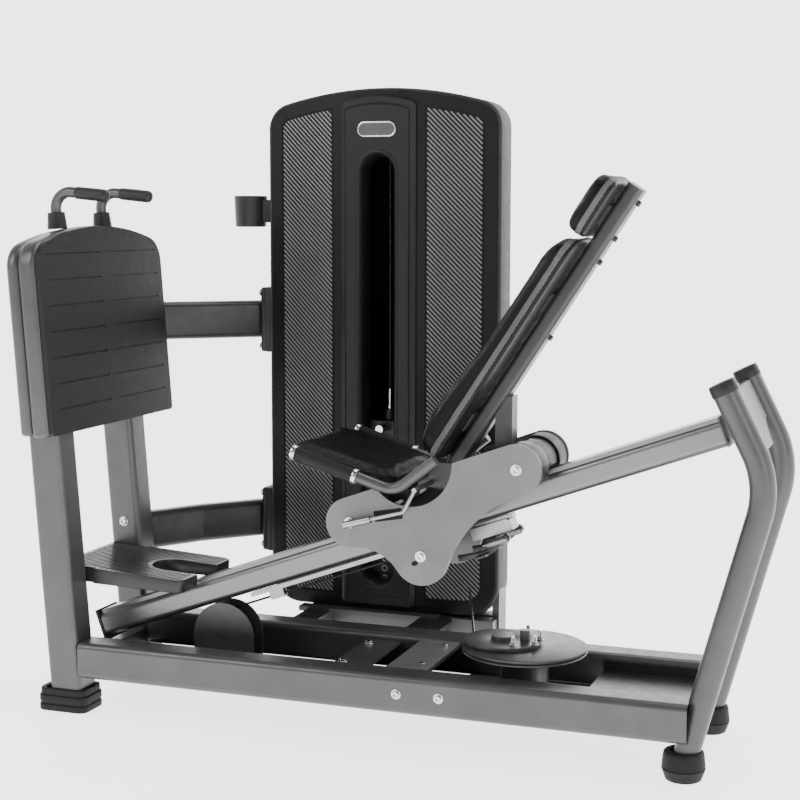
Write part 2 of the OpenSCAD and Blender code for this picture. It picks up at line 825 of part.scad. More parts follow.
module carriage_outline() {
    left = [roller_s[0], roller_off];
    right = [roller_s[1], roller_off];
    low = [lower_roller_s, -roller_off];
    fl = fillet_c(low, left, left_fillet);
    fr = fillet_c(low, right, right_fillet);
    difference() {
        union() {
            translate(left) circle(lobe_r);
            translate(right) circle(lobe_r);
            translate([left.x, roller_off]) square([right.x - left.x, lobe_r - 0.05]);
            translate(low) circle(low_lobe_r);
            polygon([left, right + [0, 1], right + unit(fr - right) * (lobe_r - 0.2),
                low + unit(fr - low) * (low_lobe_r - 0.2), low, low + unit(fl - low) * (low_lobe_r - 0.2),
                left + unit(fl - left) * (lobe_r - 0.2)]);
        }
        translate(cut_c) circle(cut_r, $fn = 120);
        translate(fl) circle(left_fillet, $fn = 120);
        translate(fr) circle(right_fillet, $fn = 240);
        for (c = [left, right]) translate(c) circle(6.05);
        translate(low) circle(6.05);
        translate([low.x - 19, low.y - 10]) circle(5);
    }
}

module carriage_plate(y) {
    on_rail() translate([0, y + plate_t, 0]) rotate([90, 0, 0]) linear_extrude(plate_t) carriage_outline();
}

module carriage_plate_near() {
    color(plate_grey) placed() carriage_plate(-plate_y - plate_t);
}

module carriage_plate_far() {
    color(plate_grey) placed() carriage_plate(plate_y);
}

module roller_axles() {
    out = plate_y + plate_t;
    color(chrome_grey) placed() on_rail() {
        for (s = roller_s) translate([s, 0, roller_off]) {
            across(-out - 4, out + 4, 12);
            for (side = [-1, 1]) translate([0, side * (out + 3.5), 0]) across(-3.5, 3.5, 21);
        }
        translate([lower_roller_s, 0, -roller_off]) {
            across(-out - 4, out + 4, 12);
            for (side = [-1, 1]) translate([0, side * (out + 3.5), 0]) across(-3.5, 3.5, 21);
        }
    }
}

module roller(w) {
    ring_y(-w / 2, w / 2, 2 * roller_r, 12.1);
}

module front_roller() {
    color(rubber_black) placed() on_rail() translate([roller_s[0], 0, roller_off]) roller(78);
}

module rear_roller() {
    color(rubber_black) placed() on_rail() translate([roller_s[1], 0, roller_off]) roller(78);
}

module lower_rollers() {
    color(rubber_black) placed() on_rail() translate([lower_roller_s, 0, -roller_off]) {
        for (y = [-34, 34]) translate([0, y, 0]) roller(30);
        ring_y(-34, 34, 20, 12.1);
    }
}

// Rounded hoods over the upper rollers: two rims outside the rail and a slimmer black middle
module hood_band(y0, y1, r, from, to) {
    rotate([90, 0, 0]) translate([0, 0, -y1]) rotate([0, 0, from]) rotate_extrude(angle = to - from)
        translate([r - 5, 0]) square([5, y1 - y0]);
}

module roller_cover(s, from, to, mid_from, mid_to) {
    on_rail() translate([s, 0, roller_off]) {
        hood_band(-plate_y + 0.1, -52, lobe_r - 1, from, to);
        hood_band(52, plate_y - 0.1, lobe_r - 1, from, to);
        hood_band(-52 + hair, 52 - hair, lobe_r - 7, mid_from, mid_to);
    }
}

module roller_covers() {
    color(dark_grey) placed() {
        roller_cover(roller_s[0], 95, 262, 95, 205);
        roller_cover(roller_s[1], -72, 85, -24, 85);
    }
}

// ---- Seat ----

seat_tilt = 15;
seat_c = [-232, 752];

module on_seat() {
    translate([seat_c.x, 0, seat_c.y]) rotate([0, seat_tilt, 0]) children();
}

back_foot = [150, 690];

module on_back() {
    translate([back_foot.x, 0, back_foot.y]) rotate([0, 90 - back_angle, 0]) children();
}

module seat_pad() {
    color(pad_black) placed() on_seat() translate([0, 0, -54]) linear_extrude(52) {
        translate([150, 0]) rounded_rect(300, seat_w, 48);
    }
}

// Side profile of the back pad: thicker at the small of the back
module back_profile() {
    polygon([[-20, -2], [-20, 642], [-56, 642], [-72, 626], [-76, 300], [-94, 90], [-90, 16], [-72, -4]]);
}

module back_pad() {
    color(pad_black) placed() on_back() intersection() {
        translate([0, back_w / 2, 0]) rotate([90, 0, 0]) linear_extrude(back_w) back_profile();
        translate([-120, 0, 320]) rotate([90, 0, 90]) linear_extrude(120) rounded_rect(back_w, 644, 60);
    }
}

module head_pad() {
    color(pad_black) placed() on_back() translate([-68, 0, 722]) rotate([90, 0, 90]) linear_extrude(48)
        rounded_rect(250, 146, 44);
}

module back_frame() {
    color(frame_grey) placed() {
        on_back() {
            translate([3, 0, -30]) linear_extrude(838) rounded_rect(42, 60, 12);
            for (z = [90, 440, 690]) translate([-19.6, -60, z]) cube([4, 120, 50]);
            for (z = [392, 610, 676, 775]) translate([23, 0, z]) rotate([0, 90, 0]) cylinder(d = 14, h = 9);
        }
        translate([256, -24, 690]) cube([43, 48, 170]);
    }
}

module seat_frame() {
    bar = 215 - 13 - 0.2;
    color(frame_grey) placed() {
        on_seat() translate([60, -50, -86]) cube([240, 100, 31]);
        on_rail() {
            for (s = [-10, 250]) translate([s, -plate_y, 70]) cube([70, 2 * plate_y, 8]);
            for (y = [-46, 38]) translate([0, y, 77]) cube([66, 8, 28]);
            translate([34, -plate_y, -80]) rotate([-90, 0, 0]) cylinder(d = 20, h = 2 * plate_y);
        }
        for (y = [-38, 30]) difference() {
            translate([62, y, 628]) cube([118, 8, 62]);
            translate([lever_pivot.x, y - e, lever_pivot.y]) rotate([-90, 0, 0]) cylinder(d = 12.1, h = 9);
        }
        translate([78, 0, 658]) across(-bar, bar, 20);
    }
}

module side_handles() {
    color(frame_grey) placed() for (side = [-1, 1]) translate([0, side * 215, 0])
        bent_rod([[-30.5, 673.6], [64, 644], [166, 724]], 60, 26);
}

module side_grips() {
    color(rubber_black) placed() for (side = [-1, 1]) translate([0, side * 215, 0])
        bent_rod([[-188, 723.3], [-42, 677.2]], 60, 31);
}

module grip_collars() {
    color(chrome_grey) placed() for (side = [-1, 1]) translate([0, side * 215, 0]) {
        bent_rod([[-200.5, 727.2], [-188, 723.3]], 60, 38);
        bent_rod([[-42, 677.2], [-30.5, 673.6]], 60, 38);
    }
}

module adjust_lever() {
    grip = [-88, 542];
    slope = [0.9652, 0.262];
    corner = grip + slope * 160;
    color(steel_grey) placed() translate([0, lever_y, 0]) {
        bent_rod([grip + slope * 72, corner, lever_pivot], 16, 10);
        bent_rod([grip, grip + slope * 72], 16, 18);
        translate([lever_pivot.x, 0, lever_pivot.y]) across(-7, -28 - lever_y, 12);
    }
}

front_feet();
rear_feet();
tower_feet();
near_beam();
far_beam();
front_posts();
rear_tubes();
rear_gusset();
front_cross_member();
mid_cross_plates();
rear_deck();
frame_bolts();
rail();
rail_end_plate();
pulley_guard();
drive_cable();
base_cable();
lift_cable();
footplate_pad();
footplate_shell();
footplate_back();
plate_handles();
handle_collars();
step_plate();
upper_arm();
lower_arm();
tower_frame();
tower_base();
front_shroud();
rear_shroud();
mesh_panels();
center_cover();
badge();
guide_rods();
lower_stack();
cup_holder();
pulley_brackets();
rack_bar();
cable_anchor();
carriage_plate_near();
carriage_plate_far();
roller_axles();
roller_covers();
seat_frame();
seat_pad();
back_pad();
head_pad();
back_frame();
side_handles();
side_grips();
grip_collars();
front_roller();
rear_roller();
lower_rollers();
adjust_lever();
cam_disc();
low_pulley();
top_pulley();
lifted_plates();
selector_pin();
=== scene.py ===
"""Leg press machine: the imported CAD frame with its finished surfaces, upholstery and fittings."""
import json
import math

import bmesh
import bpy
from mathutils import Matrix, Vector


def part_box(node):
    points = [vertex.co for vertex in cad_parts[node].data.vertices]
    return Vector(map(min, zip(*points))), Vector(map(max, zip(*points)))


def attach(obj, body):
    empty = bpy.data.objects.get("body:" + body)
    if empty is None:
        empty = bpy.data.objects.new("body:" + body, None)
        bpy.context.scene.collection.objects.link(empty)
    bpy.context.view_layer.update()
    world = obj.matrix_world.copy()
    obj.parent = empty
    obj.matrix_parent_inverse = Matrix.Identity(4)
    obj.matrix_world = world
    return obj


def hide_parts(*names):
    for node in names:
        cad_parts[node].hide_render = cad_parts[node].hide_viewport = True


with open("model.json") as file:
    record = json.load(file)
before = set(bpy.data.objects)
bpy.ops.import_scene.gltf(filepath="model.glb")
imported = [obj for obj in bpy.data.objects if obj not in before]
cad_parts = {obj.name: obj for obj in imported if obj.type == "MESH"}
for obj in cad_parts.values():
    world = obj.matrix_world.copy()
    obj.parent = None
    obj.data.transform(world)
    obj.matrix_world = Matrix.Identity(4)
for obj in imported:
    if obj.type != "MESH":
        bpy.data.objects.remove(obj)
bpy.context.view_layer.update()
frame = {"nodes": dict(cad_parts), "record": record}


# ---------------------------------------------------------------- frames (drawing units: mm)
MM = 0.001
ORIGIN = Vector((-8.24, 202.5, 12.0))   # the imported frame's origin in the drawing


def in_frame(x, y, z):
    """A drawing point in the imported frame's metres."""
    return (Vector((x, y, z)) - ORIGIN) * MM


def tilted(x, z, angle):
    """A frame at (x, 0, z), turned about Y, in drawing millimetres."""
    return (Matrix.Translation(in_frame(x, 0, z)) @ Matrix.Rotation(math.radians(angle), 4, "Y")
            @ Matrix.Scale(MM, 4))


RAIL_TILT = 20
UPRIGHT = tilted(0, 0, 0)
RAIL = tilted(0, 505, -RAIL_TILT)
PLATE = tilted(-803, 744, -4.2)
SEAT = tilted(-232, 752, 15)
BACK = tilted(150, 690, 33)
BEAM_Y, BEAM_W = 187, 88
BEAM_FACE_Y = BEAM_Y + BEAM_W / 2
TOWER_X, TOWER_Y, TOWER_HALF = -232, 500, 347
BULGE = 30                              # how far the front shroud bows out
COVER_Y = 455                           # front of the centre cover
SHROUD_R = (TOWER_HALF ** 2 + BULGE ** 2) / (2 * BULGE)
PANEL_EDGE, PANEL_IN = 51, 142          # a panel's ribs: from the tower's edge, and from its middle
BADGE_Z = 1534
FLANGE_X = -601                         # where the arms meet the tower
ARM_Z = (404, 994)                      # middles of the lower and upper arm
HANDLE_Y, GRIP_Y = 115, 215             # footplate handles and seat grips, either side of the middle
UPPER_ROLLERS, LOWER_ROLLER = (-64, 387), 86        # along the rail
ROLLER_OFF = 65.3                       # roller axles above and below the rail's middle
CAM_X, CAM_TOP_X = 330, 275             # middles of the large plates and the small one on top
TUBE_PATH = [(826, 926), (936, 706), (757, 38)]     # rear tubes, from the top down
FRONT_FOOT_X, REAR_FOOT_X, FLOOR_Z = -850, 760, 12
STACK_COUNT, STACK_Z, STACK_PITCH = 14, 240, 29     # weight plates below the selector pin
BOARD_X = -20.5                         # front of the boards behind the back and head pads
PIPING_R, TYRE_R = 1.7, 29.0
LATCH_Y = 60                            # latch springs and lever arms, either side of the middle
PAD_VOXEL, PAD_PRESSURE, PAD_FILL = 0.006, 4.0, 0.7


def shift(x, y, z):
    return Matrix.Translation((x, y, z))


def turn(angle, axis):
    return Matrix.Rotation(math.radians(angle), 4, axis)


# ---------------------------------------------------------------- materials
def socket(shader, name, value):
    shader.inputs[name].default_value = value


class Mat:
    """A node material built up from object-space procedural textures."""

    def __init__(self, name, color, metallic=0.0, coat=0.0, specular=0.5):
        self.mat = bpy.data.materials.new(name)
        self.mat.use_nodes = True
        self.tree = self.mat.node_tree
        self.shader = self.tree.nodes["Principled BSDF"]
        socket(self.shader, "Metallic", metallic)
        socket(self.shader, "Coat Weight", coat)
        socket(self.shader, "Coat Roughness", 0.22)
        socket(self.shader, "Specular IOR Level", specular)
        self.color = color
        self.coords = self.node("ShaderNodeTexCoord").outputs["Object"]
        self.normal = None
        self.mat.diffuse_color = (*color, 1)

    def node(self, kind, **facts):
        n = self.tree.nodes.new(kind)
        for k, v in facts.items():
            setattr(n, k, v)
        return n

    def link(self, a, b):
        self.tree.links.new(a, b)

    def stretched(self, scale, rotate=(0, 0, 0)):
        m = self.node("ShaderNodeMapping")
        m.inputs["Scale"].default_value = scale
        m.inputs["Rotation"].default_value = rotate
        self.link(self.coords, m.inputs["Vector"])
        return m.outputs["Vector"]

    def noise(self, scale, detail, vector=None):
        n = self.node("ShaderNodeTexNoise")
        n.inputs["Scale"].default_value = scale
        n.inputs["Detail"].default_value = detail
        self.link(vector or self.coords, n.inputs["Vector"])
        return n.outputs["Fac"]

    def voronoi(self, scale, feature="F1"):
        n = self.node("ShaderNodeTexVoronoi", feature=feature)
        n.inputs["Scale"].default_value = scale
        self.link(self.coords, n.inputs["Vector"])
        return n.outputs["Distance"]

    def ramp(self, fac, stops):
        n = self.node("ShaderNodeValToRGB")
        while len(n.color_ramp.elements) < len(stops):
            n.color_ramp.elements.new(0.5)
        for el, (pos, value) in zip(n.color_ramp.elements, stops):
            el.position = pos
            el.color = (*value, 1) if isinstance(value, tuple) else (value, value, value, 1)
        self.link(fac, n.inputs["Fac"])
        return n.outputs["Color"]

    def paint(self, fac, low, high):
        """Base colour runs between two multiples of the colour as fac goes over the ramp's middle."""
        self.link(self.ramp(fac, [(0.3, tuple(c * low for c in self.color)),
                                  (0.7, tuple(min(1, c * high) for c in self.color))]),
                  self.shader.inputs["Base Color"])

    def mix_paint(self, fac, other, share):
        """Blend another colour over the base where fac is high."""
        mix = self.node("ShaderNodeMix", data_type="RGBA")
        old = self.shader.inputs["Base Color"].links[0].from_socket
        scaled = self.node("ShaderNodeMath", operation="MULTIPLY")
        scaled.inputs[1].default_value = share
        self.link(fac, scaled.inputs[0])
        self.link(scaled.outputs[0], mix.inputs["Factor"])
        self.link(old, mix.inputs["A"])
        mix.inputs["B"].default_value = (*other, 1)
        self.link(mix.outputs["Result"], self.shader.inputs["Base Color"])

    def gloss(self, fac, low, high):
        self.link(self.ramp(fac, [(0.3, low), (0.7, high)]), self.shader.inputs["Roughness"])

    def bump(self, fac, distance, strength):
        """One more layer of relief, over the layers already there."""
        n = self.node("ShaderNodeBump")
        n.inputs["Strength"].default_value = strength
        n.inputs["Distance"].default_value = distance
        self.link(fac, n.inputs["Height"])
        if self.normal:
            self.link(self.normal, n.inputs["Normal"])
        self.normal = n.outputs["Normal"]
        self.link(self.normal, self.shader.inputs["Normal"])

    def paint_edge_highlight(self, color, share):
        """Lighter convex edges: a painted highlight along every sharply convex edge."""
        geometry = self.node("ShaderNodeNewGeometry").outputs["Pointiness"]
        self.mix_paint(self.ramp(geometry, [(0.62, 0.0), (0.78, 1.0)]), color, share)


def coated_metal(name, color, rough, metallic=0.55, coat=0.12, edge_light=(0.3, 0.3, 0.3)):
    m = Mat(name, color, metallic, coat, specular=0.3)
    m.paint(m.noise(9, 5), 0.90, 1.10)
    m.mix_paint(m.ramp(m.noise(2600, 1), [(0.62, 0.0), (0.72, 1.0)]), tuple(c * 1.9 for c in color), 0.35)
    m.gloss(m.noise(38, 4), rough - 0.06, rough + 0.07)
    m.bump(m.noise(900, 2), 0.00022, 0.35)
    m.bump(m.noise(60, 2), 0.0004, 0.12)
    # Painted highlight: convex edges are lightened towards the given colour.
    m.paint_edge_highlight(edge_light, share=0.35)
    return m.mat


def moulded(name, color, rough, grain=1500, depth=0.00025, specular=0.22):
    m = Mat(name, color, specular=specular)
    m.paint(m.noise(14, 4), 0.86, 1.14)
    m.gloss(m.noise(55, 3), rough - 0.07, rough + 0.08)
    m.bump(m.voronoi(grain), depth, 0.45)
    m.bump(m.noise(grain * 0.4, 3), depth, 0.25)
    # Painted highlight on the convex edges.
    m.paint_edge_highlight(tuple(min(1, c * 2.2 + 0.02) for c in color), share=0.4)
    return m.mat


def metal(name, color, rough, brushed=(1, 1, 1)):
    m = Mat(name, color, metallic=1.0)
    streaks = m.noise(420, 3, vector=m.stretched(brushed))
    m.paint(m.noise(20, 4), 0.88, 1.06)
    m.gloss(streaks, rough - 0.05, rough + 0.09)
    m.bump(streaks, 0.00005, 0.4)
    return m.mat


def vinyl(name, color, rough):
    m = Mat(name, color, specular=0.13)
    m.paint(m.noise(11, 4), 0.82, 1.2)
    m.gloss(m.noise(70, 3), rough - 0.06, rough + 0.09)
    m.bump(m.voronoi(620, "DISTANCE_TO_EDGE"), 0.0005, 0.30)
    m.bump(m.noise(1500, 3), 0.0002, 0.3)
    m.bump(m.noise(26, 3), 0.0016, 0.18)
    return m.mat


def rubber(name, color, rough, pebble=520):
    m = Mat(name, color, specular=0.16)
    m.paint(m.noise(18, 5), 0.93, 1.07)
    m.gloss(m.noise(45, 3), rough - 0.03, rough + 0.04)
    m.bump(m.voronoi(pebble), 0.0006, 0.45)
    m.bump(m.noise(1800, 2), 0.0002, 0.3)
    # Painted highlight on the convex edges.
    m.paint_edge_highlight(tuple(min(1, c * 2.4 + 0.02) for c in color), share=0.4)
    return m.mat


def rail_metal():
    tilt = math.radians(RAIL_TILT)
    m = Mat("rail_steel", (0.17, 0.17, 0.172), metallic=0.8, coat=0.2)
    along = (2.0, 160.0, 160.0)
    streaks = m.noise(6, 4, vector=m.stretched(along, (0, tilt, 0)))
    m.paint(streaks, 0.93, 1.07)
    m.gloss(streaks, 0.27, 0.38)
    m.bump(streaks, 0.00008, 0.3)
    m.mix_paint(m.ramp(m.noise(5, 3), [(0.55, 0.0), (0.75, 1.0)]), (0.20, 0.20, 0.203), 0.4)
    # Painted reflection: faces turned to the rail's top take a dark reflection colour.
    facing = m.node("ShaderNodeVectorMath", operation="DOT_PRODUCT")
    m.link(m.node("ShaderNodeTexCoord").outputs["Normal"], facing.inputs[0])
    facing.inputs[1].default_value = (-math.sin(tilt), 0, math.cos(tilt))
    m.mix_paint(m.ramp(facing.outputs["Value"], [(0.8, 0.0), (0.95, 1.0)]), (0.05, 0.05, 0.052), 0.9)
    # Painted shade: faces turned down, under the rail, are darkened.
    below = m.node("ShaderNodeMath", operation="MULTIPLY")
    m.link(facing.outputs["Value"], below.inputs[0])
    below.inputs[1].default_value = -1.0
    m.mix_paint(m.ramp(below.outputs[0], [(0.15, 0.0), (0.7, 1.0)]), (0.06, 0.06, 0.062), 0.85)
    return m.mat


# Colour of a faint painted highlight on convex edges.
FAINT_EDGE_LIGHT = (0.2, 0.2, 0.2)
PAINT = coated_metal("frame_coat", (0.072, 0.072, 0.074), 0.37)
PAINT_LIGHT = coated_metal("carriage_coat", (0.135, 0.135, 0.137), 0.45, metallic=0.3, edge_light=(0.6, 0.6, 0.6))
PAINT_DARK = coated_metal("dark_coat", (0.022, 0.022, 0.023), 0.32, metallic=0.3, coat=0.4, edge_light=FAINT_EDGE_LIGHT)
IRON = coated_metal("stack_coat", (0.028, 0.028, 0.03), 0.48, metallic=0.4, coat=0.1, edge_light=FAINT_EDGE_LIGHT)
RAIL_STEEL = rail_metal()
CHROME = metal("polished_steel", (0.60, 0.60, 0.62), 0.16)
ZINC = metal("zinc_steel", (0.34, 0.34, 0.345), 0.34, (1, 1, 6))
SHROUD = moulded("shroud_plastic", (0.0055, 0.0055, 0.0057), 0.38, 1900, 0.00012, specular=0.16)
COVER = moulded("cover_plastic", (0.0085, 0.0085, 0.0088), 0.38, 1900, 0.00014, specular=0.22)
# Near-black: the tower panels' backing, and painted shade in the carriage plate's openings.
MESH_BACK = moulded("panel_backing_and_opening_shade", (0.006, 0.006, 0.006), 0.7, 1400)
MESH_RIB = coated_metal("panel_rib", (0.15, 0.15, 0.152), 0.40, metallic=0.3)
PLASTIC = moulded("black_plastic", (0.018, 0.018, 0.019), 0.42)
RUBBER = rubber("foot_rubber", (0.013, 0.013, 0.013), 0.62)
TREAD = rubber("tread_rubber", (0.012, 0.012, 0.0123), 0.50, 380)
TYRE = rubber("roller_tyre", (0.014, 0.014, 0.015), 0.36, 900)
VINYL = vinyl("vinyl_black", (0.0032, 0.0032, 0.0034), 0.44)
VINYL_GREY = vinyl("vinyl_grey", (0.085, 0.085, 0.087), 0.5)
JACKET = moulded("cable_jacket", (0.014, 0.014, 0.014), 0.25, 2600, 0.00006)
# Frame paint darkened as painted shade for the arms, which the tower shadows; the step deck and the latch
# lever take it too.
PAINT_SHADE = coated_metal("arm_coat_painted_shade", (0.030, 0.030, 0.031), 0.34)
HOOP_COAT = moulded("hoop_coat", (0.036, 0.036, 0.037), 0.44, specular=0.10)
# Near-black matte strips: painted shade in the grooves beside the centre cover.
BLACK_GAP = moulded("gap_painted_shade", (0.003, 0.003, 0.003), 0.8, specular=0.05)
BACK_COAT = coated_metal("back_coat", (0.050, 0.050, 0.051), 0.40)

LOOKS = {"frame_paint": PAINT, "light_paint": PAINT_LIGHT, "dark_paint": PAINT_DARK, "bright_steel": CHROME,
         "zinc_steel": ZINC, "black_plastic": PLASTIC, "grey_plastic": COVER, "rubber": RUBBER,
         "roller_tyre": TYRE, "cable_jacket": JACKET, "upholstery": VINYL}
SPECIAL = {"rail": RAIL_STEEL, "front_shroud": SHROUD, "rear_shroud": SHROUD, "mesh_panels": MESH_BACK,
           "lower_stack": IRON, "lifted_plates": IRON, "footplate_pad": TREAD, "step_plate": PAINT_DARK,
           "back_frame": BACK_COAT}
for part in frame["record"]["subparts"]:
    node = frame["nodes"][part["node"]]
    node.data.materials.clear()
    node.data.materials.append(SPECIAL.get(part["node"]) or LOOKS[part["material_slot"]])


# ---------------------------------------------------------------- shape helpers
def piece(name, bm, place, mats, body, replaced=(), sharp=35):
    """A finished mesh piece from geometry drawn in place's millimetres."""
    bm.transform(place)
    bmesh.ops.recalc_face_normals(bm, faces=bm.faces)
    for f in bm.faces:
        f.smooth = True
    limit = math.radians(sharp)
    for ed in bm.edges:
        ed.smooth = not (ed.is_manifold and ed.calc_face_angle(0) > limit)
    mesh = bpy.data.meshes.new(name)
    bm.to_mesh(mesh)
    bm.free()
    for m in (mats if isinstance(mats, (list, tuple)) else [mats]):
        mesh.materials.append(m)
    obj = bpy.data.objects.new(name, mesh)
    bpy.context.scene.collection.objects.link(obj)
    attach(obj, body)
    if replaced:
        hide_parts(*replaced)
    return obj


def arc(cx, cy, r, a0, a1, n):
    return [(cx + r * math.cos(math.radians(a0 + (a1 - a0) * i / n)),
             cy + r * math.sin(math.radians(a0 + (a1 - a0) * i / n))) for i in range(n + 1)]


def arch(half, low, high, arch_r, top_r, low_r, n=8, top_n=28):
    """Outline of an upright panel with an arched top, counter-clockwise."""
    cy = high - arch_r
    kx = half - top_r
    ky = cy + math.sqrt((arch_r - top_r) ** 2 - kx ** 2)
    a = math.degrees(math.atan2(ky - cy, kx))
    pts = arc(half - low_r, low + low_r, low_r, -90, 0, n)
    pts += arc(kx, ky, top_r, 0, a, n)
    pts += arc(0, cy, arch_r, a, 180 - a, top_n)[1:-1]
    pts += arc(-kx, ky, top_r, 180 - a, 180, n)
    pts += arc(-half + low_r, low + low_r, low_r, 180, 270, n)
    return pts


def rounded(w, h, r, n):
    pts = []
    for sx, sy, a in ((1, 1, 0), (-1, 1, 90), (-1, -1, 180), (1, -1, 270)):
        pts += arc(sx * (w / 2 - r), sy * (h / 2 - r), r, a, a + 90, n)
    return pts


def moved(outline, du, dv=0):
    return [(u + du, v + dv) for u, v in outline]


def circle(r, n):
    return [(r * math.cos(t), r * math.sin(t)) for t in [2 * math.pi * i / n for i in range(n)]]


def finer(outline):
    """The same outline with its longer sides cut into spans of one to two steps."""
    step = 20
    out = []
    for a, b in zip(outline, outline[1:] + outline[:1]):
        a, b = Vector(a), Vector(b)
        n = max(1, int((b - a).length / step))
        out += [tuple(a.lerp(b, i / n)) for i in range(n)]
    return out


def facing_x(u, v, w):
    return (w, u, v)


def facing_y(u, v, w):
    return (u, w, v)


def flat(u, v, w):
    return (u, v, w)


def beside(y):
    """Like facing_y, with its middle at y."""
    return lambda u, v, w: (u, y + w, v)


def aimed(at, along):
    """A frame at a point with its Z along a direction."""
    return Matrix.Translation(at) @ along.to_track_quat("Z", "Y").to_matrix().to_4x4()


def prism(outline, w0, w1, axes, bevel, segments, bm=None):
    """A slab between w0 and w1 with rounded rim edges."""
    bm = bm or bmesh.new()
    layers = [(w0 + bevel * (1 - math.cos(t)), bevel * (1 - math.sin(t)))
              for t in [math.pi / 2 * i / segments for i in range(segments + 1)]] if bevel else [(w0, 0)]
    layers += [(w0 + w1 - w, inset) for w, inset in reversed(layers)]
    loops = [[bm.verts.new(axes(u, v, w)) for u, v in inset_loop(outline, inset)] for w, inset in layers]
    skin(bm, loops)
    return bm


def inset_loop(pts, d):
    """Every point moved inwards by d along its corner's bisector (counter-clockwise loops)."""
    if not d:
        return pts
    out = []
    n = len(pts)
    for i in range(n):
        p = Vector(pts[i])
        k = i - 1
        while (p - Vector(pts[k])).length < 1e-6:
            k -= 1
        j = (i + 1) % n
        while (p - Vector(pts[j])).length < 1e-6:
            j = (j + 1) % n
        a = (p - Vector(pts[k])).normalized()
        b = (Vector(pts[j]) - p).normalized()
        na, nb = Vector((-a.y, a.x)), Vector((-b.y, b.x))
        m = na + nb
        m = m / max(0.25, m.length_squared / 2)
        out.append(tuple(p + m * d))
    return out


def stitch(bm, loops):
    """Faces between each closed loop of points and the next."""
    for a, b in zip(loops, loops[1:]):
        for i in range(len(a)):
            j = (i + 1) % len(a)
            bm.faces.new((a[i], a[j], b[j], b[i]))


def skin(bm, loops):
    """A closed form through the loops, with its two ends filled."""
    stitch(bm, loops)
    bm.faces.new(loops[0])
    bm.faces.new(list(reversed(loops[-1])))


def ring(outer, inner, w0, w1, axes, bevel, segments=3, bm=None):
    """A hoop between two outlines with the same number of points, its four edges rounded."""
    bm = bm or bmesh.new()
    rows = [(outer, bevel * (1 - math.sin(math.pi / 2 * i / segments)),
             w0 + bevel * (1 - math.cos(math.pi / 2 * i / segments))) for i in range(segments + 1)]
    rows += [(o, d, w0 + w1 - w) for o, d, w in reversed(rows)]
    rows += [(inner, -d, w) for _, d, w in reversed(rows)]
    loops = [[bm.verts.new(axes(u, v, w)) for u, v in inset_loop(o, d)] for o, d, w in rows]
    stitch(bm, loops + [loops[0]])
    return bm


def lathe(profile, n, bm, place):
    """Turned about Z: profile is (radius, height) from the bottom to the top."""
    rows = [[bm.verts.new(place @ Vector((u, v, z))) for u, v in (circle(r, n) if r else [(0, 0)])]
            for r, z in profile]
    for a, b in zip(rows, rows[1:]):
        for i in range(n):
            j = (i + 1) % n
            if len(a) == 1 and len(b) > 1:
                bm.faces.new((a[0], b[j], b[i]))
            elif len(b) == 1 and len(a) > 1:
                bm.faces.new((a[i], a[j], b[0]))
            elif len(a) > 1:
                bm.faces.new((a[i], a[j], b[j], b[i]))
    return bm


def route(points, radius, n):
    """A bent path through 2-D points with every corner rounded."""
    out = [Vector(points[0])]
    for a, p, b in zip(points, points[1:], points[2:]):
        a, p, b = Vector(a), Vector(p), Vector(b)
        u, v = (p - a).normalized(), (b - p).normalized()
        angle = u.angle(v)
        cut = radius * math.tan(angle / 2)
        side = Vector((-u.y, u.x)) * (1 if u.x * v.y - u.y * v.x > 0 else -1)
        c = p - u * cut + side * radius
        start = p - u * cut - c
        for i in range(n + 1):
            s, co = math.sin(angle * i / n), math.cos(angle * i / n)
            out.append(c + start * co + u * radius * s)
    out.append(Vector(points[-1]))
    return out


def sweep(path, section, axes, bm=None):
    """A 2-D section carried along a flat path, its first coordinate square to the path's plane."""
    bm = bm or bmesh.new()
    loops = []
    last = len(path) - 1
    for i, p in enumerate(path):
        a = (p - path[i - 1]).normalized() if i else None
        b = (path[i + 1] - p).normalized() if i < last else None
        t = (a + b).normalized() if a and b else (a or b)
        stretch = 1 / max(0.5, t.dot(a)) if a and b else 1
        nrm = Vector((-t.y, t.x))
        loops.append([bm.verts.new(axes(p.x + nrm.x * v * stretch, p.y + nrm.y * v * stretch, w))
                      for w, v in section])
    skin(bm, loops)
    return bm


def socket_screw(bm, place, head, washer, tall):
    """Washer and rounded cylinder head with a hexagon socket, standing on place's XY plane."""
    lathe([(0, 0), (washer, 0), (washer, 1.6), (washer - 0.7, 2.2), (head + 0.6, 2.2), (head, 2.6),
           (head, tall - 1.8), (head - 0.6, tall - 0.7), (head - 2.0, tall), (head * 0.62, tall),
           (head * 0.56, tall - 0.4)], 36, bm, place)
    n = 36
    outer = [bm.verts.new(place @ Vector((u, v, tall - 0.4))) for u, v in circle(head * 0.56, n)]

    def hexagon(z):
        out = []
        for i in range(n):
            a = 2 * math.pi * i / n
            r = head * 0.44 / math.cos((a % (math.pi / 3)) - math.pi / 6)
            out.append(bm.verts.new(place @ Vector((r * math.cos(a), r * math.sin(a), z))))
        return out

    top, low = hexagon(tall - 0.5), hexagon(tall - 4)
    stitch(bm, [outer, top, low])
    bm.faces.new(low)


def hex_head(bm, place, across, tall, washer):
    """Washer and chamfered hexagon head."""
    lathe([(0, 0), (washer, 0), (washer, 1.5), (washer - 0.5, 2.0), (across * 0.4, 2.0)], 30, bm, place)
    skin(bm, [[bm.verts.new(place @ Vector((u, v, z))) for u, v in circle(across * k / math.sqrt(3), 6)]
              for k, z in ((0.97, 2.0), (1, 2.3), (1, tall - 1.0), (0.88, tall))])


